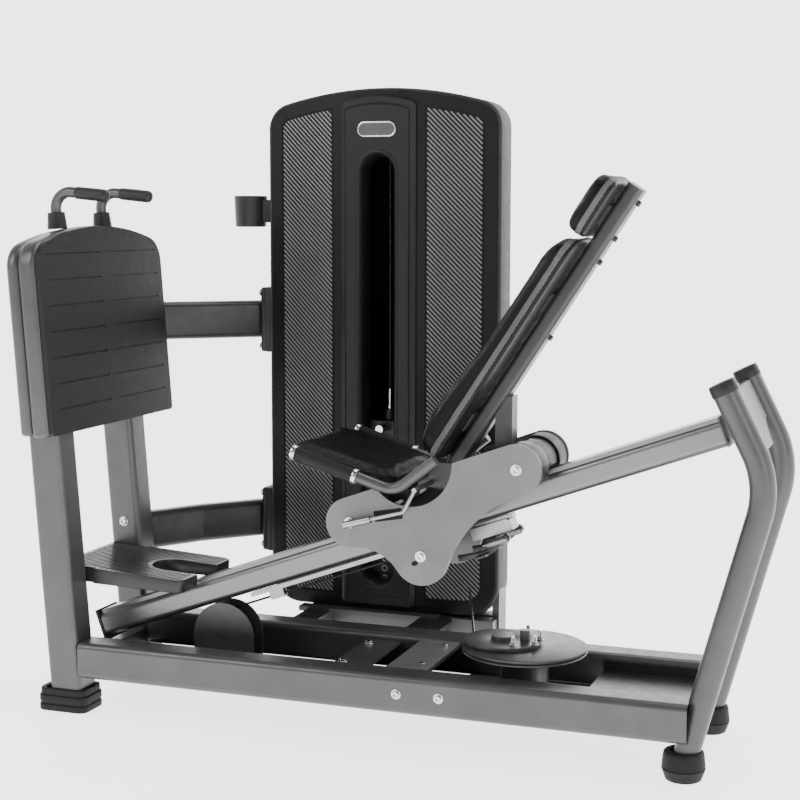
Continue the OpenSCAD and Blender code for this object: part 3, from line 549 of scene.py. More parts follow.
def inside(outline, x, y):
    """Whether a point is inside a closed outline."""
    hit = False
    j = len(outline) - 1
    for i in range(len(outline)):
        (xi, yi), (xj, yj) = outline[i], outline[j]
        if (yi > y) != (yj > y) and x < (xj - xi) * (y - yi) / (yj - yi) + xi:
            hit = not hit
        j = i
    return hit


def crossing(outline, base, along, within, beyond):
    """How far along a line it leaves an outline, from a distance inside and one outside."""
    for _ in range(5):
        middle = (within + beyond) / 2
        p = base + along * middle
        if inside(outline, p.x, p.y):
            within = middle
        else:
            beyond = middle
    return within


def ribs(outline, angle, pitch, width, height, surface, step=6.0, margin=0.0):
    """Parallel raised ribs clipped to an outline. surface(u, v, lift) gives the place of a rib's point."""
    bm = bmesh.new()
    along = Vector((math.cos(math.radians(angle)), math.sin(math.radians(angle))))
    across = Vector((-along.y, along.x))
    us = [p[0] for p in outline]
    vs = [p[1] for p in outline]
    mid = Vector(((min(us) + max(us)) / 2, (min(vs) + max(vs)) / 2))
    reach = Vector((max(us) - min(us), max(vs) - min(vs))).length / 2 + pitch
    count = int(reach / pitch)
    for k in range(-count, count + 1):
        base = mid + across * k * pitch
        runs, cur = [], []
        t = -reach
        while t <= reach:
            p = base + along * t
            ok = inside(outline, p.x, p.y)
            if ok:
                cur.append(t)
            if cur and (not ok or t + step > reach):
                runs.append((cur[0], cur[-1]))
                cur = []
            t += step
        for t0, t1 in runs:
            t0 = crossing(outline, base, along, t0, t0 - step) + margin
            t1 = crossing(outline, base, along, t1, t1 + step) - margin
            if t1 - t0 < width:
                continue
            n = max(1, int((t1 - t0) / 40))
            loops = []
            for i in range(n + 1):
                c = base + along * (t0 + (t1 - t0) * i / n)
                side = across * width / 2
                loops.append([bm.verts.new(surface(*(c + side * f), h)) for f, h in
                              ((-1, 0), (-0.8, height), (0.8, height), (1, 0))])
            skin(bm, loops)
    return bm


def tube(bm, path, r, n=8):
    """A round wire through 3-D points."""
    loops = []
    last = len(path) - 1
    side = None
    for i, p in enumerate(path):
        t = (path[min(i + 1, last)] - path[max(i - 1, 0)]).normalized()
        side = (side - t * side.dot(t)).normalized() if side else t.orthogonal().normalized()
        other = t.cross(side)
        loops.append([bm.verts.new(p + side * u + other * v) for u, v in circle(r, n)])
    skin(bm, loops)


def clip_half(pts, x0, side):
    """The part of a closed outline on one side of a vertical line."""
    out = []
    n = len(pts)
    for i in range(n):
        a, b = pts[i], pts[(i + 1) % n]
        ina, inb = side * (a[0] - x0) >= 0, side * (b[0] - x0) >= 0
        if ina:
            out.append(a)
        if ina != inb:
            t = (x0 - a[0]) / (b[0] - a[0])
            out.append((x0, a[1] + (b[1] - a[1]) * t))
    return out


# ---------------------------------------------------------------- camera, light and floor
def stage():
    az, pitch, roll = (math.radians(a) for a in (19.68, 6.56, 0.09))
    look = Vector((-math.sin(az) * math.cos(pitch), math.cos(az) * math.cos(pitch), -math.sin(pitch)))
    right = Vector((math.cos(az), math.sin(az), 0))
    up = right.cross(look)
    right, up = right * math.cos(roll) + up * math.sin(roll), up * math.cos(roll) - right * math.sin(roll)
    data = bpy.data.cameras.new("camera")
    data.sensor_width = 36
    data.lens = 72.729
    data.clip_end = 200
    cam = bpy.data.objects.new("camera", data)
    bpy.context.scene.collection.objects.link(cam)
    m = Matrix((right, up, -look)).transposed().to_4x4()
    m.translation = in_frame(1355.25, -3787.68, 1300)
    cam.matrix_world = m
    bpy.context.scene.camera = cam

    world = bpy.data.worlds.new("studio")
    world.use_nodes = True
    tree = world.node_tree
    bg = tree.nodes["Background"]
    coords = tree.nodes.new("ShaderNodeTexCoord")
    split = tree.nodes.new("ShaderNodeSeparateXYZ")
    tree.links.new(coords.outputs["Generated"], split.inputs[0])

    def shade(fac, low, high, blue=1.0):
        ramp = tree.nodes.new("ShaderNodeValToRGB")
        for el, (pos, value) in zip(ramp.color_ramp.elements, (low, high)):
            el.position, el.color = pos, (value, value, value * blue, 1)
        tree.links.new(fac, ramp.inputs["Fac"])
        return ramp.outputs["Color"]

    half = tree.nodes.new("ShaderNodeMath")
    half.operation = "MULTIPLY_ADD"
    half.inputs[1].default_value = half.inputs[2].default_value = 0.5
    tree.links.new(split.outputs["Y"], half.inputs[0])
    mix = tree.nodes.new("ShaderNodeMix")
    mix.data_type, mix.blend_type = "RGBA", "MULTIPLY"
    mix.inputs["Factor"].default_value = 1.0
    tree.links.new(shade(half.outputs[0], (0.30, 0.16), (0.78, 1.0), 1.005), mix.inputs["A"])
    tree.links.new(shade(split.outputs["Z"], (0.30, 1.0), (0.85, 0.22)), mix.inputs["B"])
    tree.links.new(mix.outputs["Result"], bg.inputs["Color"])
    bg.inputs["Strength"].default_value = 3.6
    bpy.context.scene.world = world

    def area(name, at, aim, size, power):
        light = bpy.data.lights.new(name, "AREA")
        light.shape = "RECTANGLE"
        light.size, light.size_y = size
        light.energy = power
        o = bpy.data.objects.new(name, light)
        bpy.context.scene.collection.objects.link(o)
        o.location = at
        o.rotation_euler = (Vector(aim) - Vector(at)).to_track_quat("-Z", "Y").to_euler()

    area("key", (-2.6, -3.2, 3.4), (-0.2, 0, 0.6), (1.6, 2.2), 90)
    area("fill", (3.4, -2.4, 2.0), (0.2, 0, 0.6), (1.4, 2.4), 45)
    area("top", (0.2, 0.2, 4.2), (0, 0, 0.5), (2.6, 1.6), 60)
    area("rim", (2.2, 3.2, 2.6), (0, 0, 0.9), (1.2, 2.0), 40)

    floor = bmesh.new()
    bmesh.ops.create_circle(floor, cap_ends=True, radius=60, segments=96)
    mesh = bpy.data.meshes.new("floor")
    floor.to_mesh(mesh)
    floor.free()
    o = bpy.data.objects.new("floor", mesh)
    bpy.context.scene.collection.objects.link(o)
    pale = Mat("floor_pale", (0.86, 0.86, 0.86), specular=0.1)
    pale.paint(pale.noise(3, 3), 0.99, 1.01)
    socket(pale.shader, "Emission Color", (1, 1, 1, 1))
    socket(pale.shader, "Emission Strength", 2.4)
    mesh.materials.append(pale.mat)


# ---------------------------------------------------------------- upholstery
def inflate(obj, cap, hold):
    """Puff a closed form up with cloth pressure.

    No point moves more than cap, and the points that hold picks stay where they are.
    """
    start = [v.co.copy() for v in obj.data.vertices]
    group = obj.vertex_groups.new(name="hold")
    group.add([i for i, v in enumerate(obj.data.vertices) if hold(v.co)], 1.0, "REPLACE")
    cloth = obj.modifiers.new("cloth", "CLOTH")
    st = cloth.settings
    st.quality = 4
    st.mass = 0.3
    st.tension_stiffness = 18
    st.compression_stiffness = 18
    st.shear_stiffness = 8
    st.bending_stiffness = 1.2
    st.use_pressure = True
    st.uniform_pressure_force = PAD_PRESSURE
    st.effector_weights.gravity = 0
    st.vertex_group_mass = "hold"
    cloth.collision_settings.use_collision = False
    scene = bpy.context.scene
    for f in range(1, 21):
        scene.frame_set(f)
    dg = bpy.context.evaluated_depsgraph_get()
    puffed = [v.co.copy() for v in obj.evaluated_get(dg).data.vertices]
    obj.modifiers.remove(cloth)
    for v, a, b in zip(obj.data.vertices, start, puffed):
        d = b - a
        if d.length > cap:
            d = d * (cap / d.length)
        v.co = a + d
    scene.frame_set(1)


def apply_modifier(obj, mod):
    dg = bpy.context.evaluated_depsgraph_get()
    new = bpy.data.meshes.new_from_object(obj.evaluated_get(dg))
    obj.modifiers.remove(mod)
    obj.data = new


def remeshed(bm, place, name):
    mesh = bpy.data.meshes.new(name)
    bmesh.ops.recalc_face_normals(bm, faces=bm.faces)
    bm.transform(place)
    bm.to_mesh(mesh)
    bm.free()
    obj = bpy.data.objects.new(name, mesh)
    bpy.context.scene.collection.objects.link(obj)
    mod = obj.modifiers.new("voxel", "REMESH")
    mod.mode = "VOXEL"
    mod.voxel_size = PAD_VOXEL
    apply_modifier(obj, mod)
    return obj


def smooth_mesh(obj, times):
    bm = bmesh.new()
    bm.from_mesh(obj.data)
    for _ in range(times):
        bmesh.ops.smooth_vert(bm, verts=bm.verts, factor=0.5,
                              use_axis_x=True, use_axis_y=True, use_axis_z=True)
    bm.to_mesh(obj.data)
    bm.free()


def subdivide(obj):
    mod = obj.modifiers.new("fine", "SUBSURF")
    mod.levels = mod.render_levels = 1
    apply_modifier(obj, mod)


def unit(axis):
    return Vector([1 if i == axis else 0 for i in range(3)])


def contour(obj, place, axis, level):
    """The closed line with the most points where the piece crosses a plane of its own frame."""
    bm = bmesh.new()
    bm.from_mesh(obj.data)
    bm.transform(place.inverted())
    cut = bmesh.ops.bisect_plane(bm, geom=bm.verts[:] + bm.edges[:] + bm.faces[:],
                                 plane_co=unit(axis) * level, plane_no=unit(axis))
    edges = [g for g in cut["geom_cut"] if isinstance(g, bmesh.types.BMEdge)]
    near = {}
    for ed in edges:
        for v in ed.verts:
            near.setdefault(v, []).append(ed.other_vert(v))
    best = []
    left = set(near)
    while left:
        v = min(left, key=lambda q: (round(q.co.x, 4), round(q.co.y, 4), round(q.co.z, 4)))
        loop = [v]
        left.discard(v)
        while True:
            nxt = [q for q in near[loop[-1]] if q in left]
            if not nxt:
                break
            loop.append(nxt[0])
            left.discard(nxt[0])
        if len(loop) > len(best):
            best = loop
    points = [v.co.copy() for v in best]
    bm.free()
    return points


def piping(obj, place, axis, level, spacing):
    """A sewn cord all round a pad, following its surface at one level."""
    line = contour(obj, place, axis, level)
    if len(line) < 20:
        return bmesh.new()
    spans = [(a, b, (b - a).length) for a, b in zip(line, line[1:] + line[:1])]
    total = sum(length for _, _, length in spans)
    count = max(24, int(total / spacing))
    out, i, passed = [], 0, 0.0
    for k in range(count):
        want = total * k / count
        while passed + spans[i][2] < want:
            passed += spans[i][2]
            i += 1
        a, b, length = spans[i]
        out.append(a.lerp(b, (want - passed) / max(length, 1e-9)))
    for _ in range(3):
        out = [(out[j - 1] + out[j] * 2 + out[(j + 1) % count]) / 4 for j in range(count)]
    centre = sum(out, Vector((0, 0, 0))) / count
    normal = unit(axis)
    bm = bmesh.new()
    loops = []
    for j, p in enumerate(out):
        outward = (out[(j + 1) % count] - out[j - 1]).normalized().cross(normal).normalized()
        if outward.dot(p - centre) < 0:
            outward = -outward
        loops.append([bm.verts.new(p + outward * u + normal * v) for u, v in circle(PIPING_R, 8)])
    stitch(bm, loops + [loops[0]])
    return bm


def upholstered(name, bm, place, cad, cap, hold, zones):
    """A padded carriage piece. zones says which vinyl each face takes."""
    obj = remeshed(bm, place, name)
    smooth_mesh(obj, 2)
    inverse = place.inverted()
    inflate(obj, cap, lambda co: hold(inverse @ co))
    smooth_mesh(obj, 1)
    subdivide(obj)
    obj.data.materials.clear()
    for m in (VINYL, VINYL_GREY, SHROUD):
        obj.data.materials.append(m)
    for f in obj.data.polygons:
        f.use_smooth = True
        f.material_index = zones(inverse @ f.center)
    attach(obj, "carriage")
    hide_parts(cad)
    return obj


def band_zones(front_of_band, back_of_band):
    """A black front, a grey band round the side and a plain back."""
    return lambda p: 2 if p.x > back_of_band else 1 if p.x > front_of_band else 0


def back_section(z):
    """Front face of the back pad at a height along it."""
    stops = [(-2, -70), (16, -82), (60, -88), (110, -89), (200, -82), (300, -73), (450, -70), (600, -68),
             (642, -56)]
    for (z0, x0), (z1, x1) in zip(stops, stops[1:]):
        if z <= z1:
            return x0 + (x1 - x0) * max(0, z - z0) / (z1 - z0)
    return stops[-1][1]


def pad_form(half, z0, z1, corner, front, inset):
    """A closed pad: rounded outline in the YZ plane, its front face following front(z)."""
    bm = bmesh.new()
    cz = (z0 + z1) / 2
    fine = finer(moved(rounded(2 * half, z1 - z0, corner, 8), 0, cz))
    loops = []
    for depth, ins in ((0, inset + 3), (0.12, inset), (0.5, inset), (0.78, inset + 1), (0.93, inset + 6),
                       (1.0, inset + 16)):
        loop = inset_loop(fine, ins)
        loops.append([bm.verts.new((BOARD_X + (front(v) - BOARD_X) * depth, u, v)) for u, v in loop])
    for share in (0.8, 0.55, 0.3):
        loops.append([bm.verts.new((front(cz + (v - cz) * share) - 2 * (1 - share), u * share,
                                    cz + (v - cz) * share)) for u, v in inset_loop(fine, inset + 16)])
    skin(bm, loops)
    return bm


def make_pads():
    for name, form, cap, bands, spacing in (
            ("back", pad_form(145, -2, 642, 60, back_section, 4), 0.008, (-46, -31), 7),
            ("head", pad_form(128, 645, 802, 44, lambda z: -72, 2), 0.007, (-45, -31), 6)):
        pad = upholstered(name + "_cushion", form, BACK, name + "_pad", cap, lambda p: p.x > -30,
                          band_zones(*bands))
        piece(name + "_piping", piping(pad, BACK, 0, bands[0] - 0.5, spacing), BACK, VINYL, "carriage")

    bm = bmesh.new()
    middle = 150
    fine = finer(moved(rounded(2 * middle, 370, 48, 8), middle))
    loops = []
    for z, ins in ((-53.5, 8), (-50, 4.5), (-30, 4), (-16, 5), (-9, 10), (-7, 20)):
        loops.append([bm.verts.new((u, v, z)) for u, v in inset_loop(fine, ins)])
    for share in (0.75, 0.5, 0.25):
        loops.append([bm.verts.new((middle + (u - middle) * share, v * share, -7 + 1.5 * (1 - share)))
                      for u, v in inset_loop(fine, 20)])
    skin(bm, loops)
    seat = upholstered("seat_cushion", bm, SEAT, "seat_pad", 0.007, lambda p: p.z < -44,
                       lambda p: 2 if p.z < -40 else 0)
    piece("seat_piping", piping(seat, SEAT, 2, -40.5, 7), SEAT, VINYL, "carriage")


# ---------------------------------------------------------------- tower
def shroud_face(x):
    return TOWER_Y - 2 - BULGE + SHROUD_R - math.sqrt(SHROUD_R ** 2 - (x - TOWER_X) ** 2)


def tower_arch(inset):
    outline = arch(TOWER_HALF - inset, 165 + inset, 1650 - inset, 1100, 74 - inset, 92 - inset, 12, 36)
    return moved(outline, TOWER_X)


def make_tower():
    hoop = ring(tower_arch(0), tower_arch(34), TOWER_Y, TOWER_Y + 104, facing_y, 7)
    for z in ARM_Z:
        pad = moved(rounded(26, 188, 6, 3), FLANGE_X + 13, z)
        prism(pad, TOWER_Y + 10, TOWER_Y + 94, facing_y, 3, 2, hoop)
    piece("tower_hoop", hoop, UPRIGHT, HOOP_COAT, "frame", ["tower_frame"])
    for side, name in ((-1, "left"), (1, "right")):
        clipped = clip_half(tower_arch(PANEL_EDGE), TOWER_X + side * PANEL_IN, side)
        bm = ribs(clipped, -45, 9.6, 4.3, 2.0, lambda u, v, h: (u, shroud_face(u) + 0.9 - h, v), margin=0.5)
        piece("panel_ribs_" + name, bm, UPRIGHT, MESH_RIB, "frame")


# ---------------------------------------------------------------- footplate, arms and step
def plate_arch(inset):
    return arch(319 - inset, inset, 528 - inset, 1040 - inset, 70 - inset / 2, 10)


def make_footplate():
    shell = prism(plate_arch(0), -65, -12.3, facing_x, 15, 6)
    piece("footplate_body", shell, PLATE, PAINT, "frame", ["footplate_shell"])
    back = prism(plate_arch(4), -102, -63, facing_x, 16, 6)
    piece("footplate_cover", back, PLATE, PAINT, "frame", ["footplate_back"])


def make_arms():
    section = rounded(108, 50, 17, 5)
    end = BEAM_FACE_Y + 0.5
    for name, z, pts, cad in (("upper", ARM_Z[1], [(-925, end), (-880, 350), (-613, 562)], "upper_arm"),
                              ("lower", ARM_Z[0], [(-864, end), (-762, 395), (-613, 562)], "lower_arm")):
        path = route(pts, 62, 12)
        bm = sweep(path, moved(section, z), flat)
        prism(moved(rounded(84, 188, 10, 4), 552, z), FLANGE_X - 12, FLANGE_X, facing_x, 2, 2, bm)
        # The arms take the frame paint darkened as painted shade.
        piece("arm_" + name, bm, UPRIGHT, PAINT_SHADE, "frame", [cad])


def make_handles():
    bm = bmesh.new()
    grips = bmesh.new()
    for side in (-1, 1):
        path = route([(-62, 524), (-62, 622), (86, 597)], 42, 12)
        along = (path[-1] - path[-2]).normalized()
        neck = path[-1] - along * 84
        sweep(path[:-1] + [path[-1] - along * 10], circle(14, 28), beside(side * HANDLE_Y), bm)
        place = aimed((neck.x, side * HANDLE_Y, neck.y), Vector((along.x, 0, along.y)))
        profile = [(14.1, 0), (15.4, 0.6), (16.0, 3), (16.2, 20), (16.4, 50), (16.2, 80), (15.2, 87),
                   (12.4, 91), (8, 93), (0, 94)]
        lathe(profile, 32, grips, place)
    piece("footplate_handles", bm, PLATE, PAINT, "frame", ["plate_handles"])
    piece("handle_grips", grips, PLATE, PLASTIC, "frame")


def make_step():
    half, length, post, corner, slot = 152, 366, 110, 26, 60
    inner = BEAM_Y - BEAM_W / 2
    outline = [(0, -inner), (post, -inner), (post, -half)]
    outline += arc(length - corner, -half + corner, corner, -90, 0, 8)
    outline += [(length, -slot)] + arc(length - slot - 36, 0, slot, -90, -270, 24) + [(length, slot)]
    outline += arc(length - corner, half - corner, corner, 0, 90, 8)
    outline += [(post, half), (post, inner + 0.01), (0, inner)]
    place = tilted(-905, 386, 3.6)
    bm = prism(outline, -42, 0, flat, 3.5, 3)
    for v in bm.verts:
        if v.co.z < -20 and v.co.x > 92:
            v.co.z += (v.co.x - 92) * 0.0314
    piece("step_deck", bm, place, PAINT_SHADE, "frame", ["step_plate"])
    bm = ribs(inset_loop(outline, 13), 62, 13, 4.6, 1.7, lambda u, v, h: (u, v, h - 0.15), 4)
    piece("step_ribs", bm, place, PAINT_DARK, "frame")


# ---------------------------------------------------------------- bolts, axles and rollers
def make_bolts():
    bm = bmesh.new()
    for x in (74, 181):
        socket_screw(bm, shift(x, -BEAM_FACE_Y, 153) @ turn(90, "X"), 9, 12.5, 8)
    for x, z in ((-118, 178), (92, 188)):
        for y in (-92, 92):
            hex_head(bm, shift(x, y, z), 15, 8, 11)
    for z in ARM_Z:
        for k in (-1, 1):
            for y in (-26, 26):
                hex_head(bm, shift(FLANGE_X - 12, 552 + y, z + k * 78) @ turn(-90, "Y"), 16, 9, 12)
    post = UPRIGHT.inverted() @ PLATE @ shift(-88, 143, -292) @ turn(90, "X")
    socket_screw(bm, post, 10, 13.5, 9)
    end = UPRIGHT.inverted() @ RAIL @ shift(-899, 0, -18) @ turn(-90, "Y")
    hex_head(bm, end, 17, 9, 13)
    piece("frame_screws", bm, UPRIGHT, CHROME, "frame", ["frame_bolts"], sharp=25)


def make_axles():
    bm = bmesh.new()
    front, rear = UPPER_ROLLERS
    for s, o in ((front, ROLLER_OFF), (rear, ROLLER_OFF), (LOWER_ROLLER, -ROLLER_OFF)):
        at = shift(s, 0, o)
        lathe([(0, -137), (5.6, -137), (6, -136), (6, 136), (5.6, 137), (0, 137)], 24, bm, at @ turn(90, "X"))
        for side in (-1, 1):
            socket_screw(bm, at @ shift(0, side * 138, 0) @ turn(-90 * side, "X"), 9.6, 14, 7)
    piece("axle_screws", bm, RAIL, CHROME, "carriage", ["roller_axles"], sharp=25)


def tyre(bm, place, width):
    w, r = width / 2, TYRE_R
    lathe([(6.1, -w + 1.5), (12, -w + 1.5), (12.5, -w), (17, -w), (17.6, -w + 2), (21, -w + 2), (21.6, -w),
           (r - 2.2, -w), (r - 0.6, -w + 0.7), (r, -w + 2.5), (r, w - 2.5), (r - 0.6, w - 0.7), (r - 2.2, w),
           (21.6, w), (21, w - 2), (17.6, w - 2), (17, w), (12.5, w), (12, w - 1.5), (6.1, w - 1.5),
           (6.1, -w + 1.5)], 56, bm, place @ turn(90, "X"))


def make_rollers():
    for name, s in zip(("front_roller", "rear_roller"), UPPER_ROLLERS):
        bm = bmesh.new()
        tyre(bm, shift(s, 0, ROLLER_OFF), 78)
        piece(name + "_tyre", bm, RAIL, TYRE, name, [name])
    bm = bmesh.new()
    for y in (-34, 34):
        tyre(bm, shift(LOWER_ROLLER, y, -ROLLER_OFF), 30)
    lathe([(6.1, -20), (10, -20), (10, 20), (6.1, 20), (6.1, -20)], 32, bm,
          shift(LOWER_ROLLER, 0, -ROLLER_OFF) @ turn(90, "X"))
    piece("lower_roller_tyres", bm, RAIL, TYRE, "lower_rollers", ["lower_rollers"])
    rims, mids = bmesh.new(), bmesh.new()
    for s, (a0, a1, b0, b1) in zip(UPPER_ROLLERS, ((95, 262, 95, 205), (-72, 85, -24, 85))):
        def band(bm, y0, y1, r, frm, to, bevel):
            outline = [(s + u, ROLLER_OFF + v)
                       for u, v in arc(0, 0, r, frm, to, 30) + arc(0, 0, r - 5, to, frm, 30)]
            prism(outline, y0, y1, facing_y, bevel, 2, bm)
        band(rims, -129.9, -52, 59, a0, a1, 1.4)
        band(rims, 52, 129.9, 59, a0, a1, 1.4)
        band(mids, -51.9, 51.9, 53, b0, b1, 1.2)
    piece("roller_hood_rims", rims, RAIL, PLASTIC, "carriage", ["roller_covers"])
    piece("roller_hood_middles", mids, RAIL, PLASTIC, "carriage")


# ---------------------------------------------------------------- grips, feet and cam
def make_grips():
    rubber_bm, chrome_bm, tube_bm = bmesh.new(), bmesh.new(), bmesh.new()
    a, b = Vector((-188, 0, 723.3)), Vector((-42, 0, 677.2))
    run = (b - a).length
    for side in (-1, 1):
        place = aimed((a.x, side * GRIP_Y, a.z), b - a)
        profile = [(12, 0), (14.6, 0.4), (15.5, 1.5)]
        for k in range(5):
            z = 6 + k * 3.4
            profile += [(15.5, z - 1.2), (15.0, z - 0.6), (15.0, z + 0.6), (15.5, z + 1.2)]
        profile += [(15.5, run - 1.5), (14.6, run - 0.4), (12, run)]
        lathe(profile, 36, rubber_bm, place)
        for z0, z1 in ((-13.1, -0.1), (run + 0.1, run + 12.1)):
            lathe([(0, z0), (16, z0), (18.2, z0 + 0.8), (19, z0 + 2.4), (19, z1 - 2.4), (18.2, z1 - 0.8),
                   (16, z1), (0, z1)], 36, chrome_bm, place)
        path = route([(-30.5, 673.6), (64, 644), (166, 724)], 60, 14)
        sweep(path, circle(13, 28), beside(side * GRIP_Y), tube_bm)
    piece("seat_grips", rubber_bm, UPRIGHT, RUBBER, "carriage", ["side_grips"])
    piece("seat_grip_collars", chrome_bm, UPRIGHT, CHROME, "carriage", ["grip_collars"])
    piece("seat_handle_tubes", tube_bm, UPRIGHT, PAINT, "carriage", ["side_handles"])


def make_feet():
    bm = bmesh.new()
    for side in (-1, 1):
        at = FRONT_FOOT_X, side * BEAM_Y
        outline = moved(rounded(142, 108, 24, 8), *at)
        prism(outline, FLOOR_Z, 30, flat, 3, 3, bm)
        prism(inset_loop(outline, 3), 30, 34, flat, 0, 1, bm)
        prism(outline, 34, 54, flat, 3, 3, bm)
        outer, inner = moved(rounded(134, 102, 22, 8), *at), moved(rounded(103, 90, 14, 8), *at)
        ring(outer, inner, 52, 72, flat, 3, 2, bm)
    piece("front_foot_pads", bm, UPRIGHT, RUBBER, "frame", ["front_feet"])
    bm = bmesh.new()
    for side in (-1, 1):
        lathe([(0, 0), (39, 0), (42, 2), (43, 5), (50, 24), (51, 26.5), (50.4, 28.5), (49, 29.5), (49, 31.5),
               (50.4, 33), (49.4, 44), (47, 62), (45.5, 66), (43, 68), (32, 68), (32, 60), (0, 60)], 48, bm,
              shift(REAR_FOOT_X, side * BEAM_Y, FLOOR_Z))
    piece("rear_foot_cups", bm, UPRIGHT, RUBBER, "frame", ["rear_feet"])
    bm = bmesh.new()
    top, knee = Vector(TUBE_PATH[0]), Vector(TUBE_PATH[1])
    along = (top - knee).normalized()
    for side in (-1, 1):
        place = aimed((top.x, side * BEAM_Y, top.y), Vector((along.x, 0, along.y)))
        lathe([(30.0, -24), (31.4, -24), (32.0, -23), (32.0, -3), (31.2, -1.5), (31.2, 1.0), (30.2, 3.2),
               (27, 4.6), (18, 5.4), (0, 5.6)], 40, bm, place)
    piece("tube_caps", bm, UPRIGHT, PLASTIC, "frame")


def make_cam():
    bm = bmesh.new()
    lathe([(12.1, 128), (71, 128), (72, 129), (72, 133), (71, 134), (60, 134), (60, 224), (152, 224),
           (155, 225.5), (155, 227.8), (153.6, 229), (147, 229.6), (146, 231), (146, 233), (147, 234.4),
           (153.6, 235), (155, 236.2), (155, 238.5), (152, 240), (12.1, 240), (12.1, 128)],
          120, bm, shift(CAM_X, 0, 0))
    lathe([(0, 240.02), (91, 240.02), (92, 241), (92, 245.5), (93, 246.2), (97, 246.4), (98, 247.4),
           (98, 250), (96.5, 251), (36, 251), (33, 250), (31, 250), (30, 251), (30, 260), (29, 261),
           (0, 261)], 96, bm, shift(CAM_TOP_X, 0, 0))
    piece("cam_plates", bm, UPRIGHT, PAINT, "cam", ["cam_disc"], sharp=30)
    bm = bmesh.new()
    for x, y in ((322, 62), (364, 20), (364, -34), (316, -58)):
        z = 240.1 if (x - CAM_TOP_X) ** 2 + y ** 2 > 98 ** 2 else 251.1
        profile = [(0, z), (5.2, z)]
        for k in range(12):
            h = z + 3 + k * 2.0
            if h < 272:
                profile += [(5.2, h), (4.6, h + 1)]
        profile += [(4.6, 273), (3.8, 274), (0, 274)]
        lathe(profile, 18, bm, shift(x, y, 0))
        hex_head(bm, shift(x, y, z), 13, 8, 9.5)
    piece("cam_studs", bm, UPRIGHT, CHROME, "cam", sharp=25)


# ---------------------------------------------------------------- badge, stack, deck and cup holder
def make_badge():
    outline = moved(rounded(114, 42, 20.9, 10), TOWER_X, BADGE_Z)
    rim = ring(outline, inset_loop(outline, 4), COVER_Y - 3, COVER_Y, facing_y, 0.9, 2)
    piece("badge_rim", rim, UPRIGHT, CHROME, "frame", ["badge"])
    face = prism(inset_loop(outline, 3.6), COVER_Y - 1.8, COVER_Y, facing_y, 0.5, 1)
    piece("badge_face", face, UPRIGHT, PAINT, "frame")


def make_plate_bushes():
    bm = bmesh.new()
    for i in range(STACK_COUNT):
        z = STACK_Z + i * STACK_PITCH + 13.5
        lathe([(5.2, 0), (9.5, 0), (9.8, 0.5), (9.4, 0.9), (6.2, 0.9), (5.2, 0.2)], 24, bm,
              shift(TOWER_X, 521, z) @ turn(90, "X"))
    piece("plate_bushes", bm, UPRIGHT, ZINC, "frame")


def make_deck():
    bm = prism(moved(rounded(104, 270, 5, 3), 66), 188.1, 190.6, flat, 0.8, 2)
    piece("deck_cover", bm, UPRIGHT, PAINT_LIGHT, "frame")
    bm = prism([(-92, 233), (-6, 233), (6, 260), (6, 420), (-18, 468), (-92, 468)], 160.2, 172, flat, 2, 2)
    prism([(-438, 240), (-366, 240), (-366, 424), (-438, 424)], 160.2, 166, flat, 1.5, 2, bm)
    piece("base_brackets", bm, UPRIGHT, PAINT_DARK, "frame")


def make_cup():
    profile = [(0, 0), (41, 0), (44, 1.6), (45, 5), (48.4, 84), (49, 88), (48.4, 90), (46.8, 90.4),
               (45.6, 89), (45.2, 84), (40.8, 6), (39, 4.2), (0, 4)]
    bm = lathe(profile, 56, bmesh.new(), shift(-663, 556, 1262))
    prism(moved(rounded(38.6, 66, 6, 4), -598.3, 1308), 534, 578, facing_y, 3, 3, bm)
    piece("cup_shell", bm, UPRIGHT, PLASTIC, "frame", ["cup_holder"])


# ---------------------------------------------------------------- rear tubes, cover edges, latch and cable
def make_tubes():
    bm = bmesh.new()
    path = route(TUBE_PATH, 210, 22)
    dense = [path[0]]
    for a, b in zip(path, path[1:]):
        n = max(1, int((b - a).length / 60))
        dense += [a.lerp(b, (i + 1) / n) for i in range(n)]
    for side in (-1, 1):
        sweep(dense, circle(30, 40), beside(side * BEAM_Y), bm)
    piece("rear_hoop_tubes", bm, UPRIGHT, PAINT, "frame", ["rear_tubes"])
    bm = prism(rounded(104, 76, 18, 6), 861.2, 867, facing_x, 1.5, 2)
    for y in (-38, 38):
        hex_head(bm, shift(867, y, -24) @ turn(90, "Y"), 10, 5, 7)
    piece("rail_end_flange", bm, RAIL, PAINT, "frame")


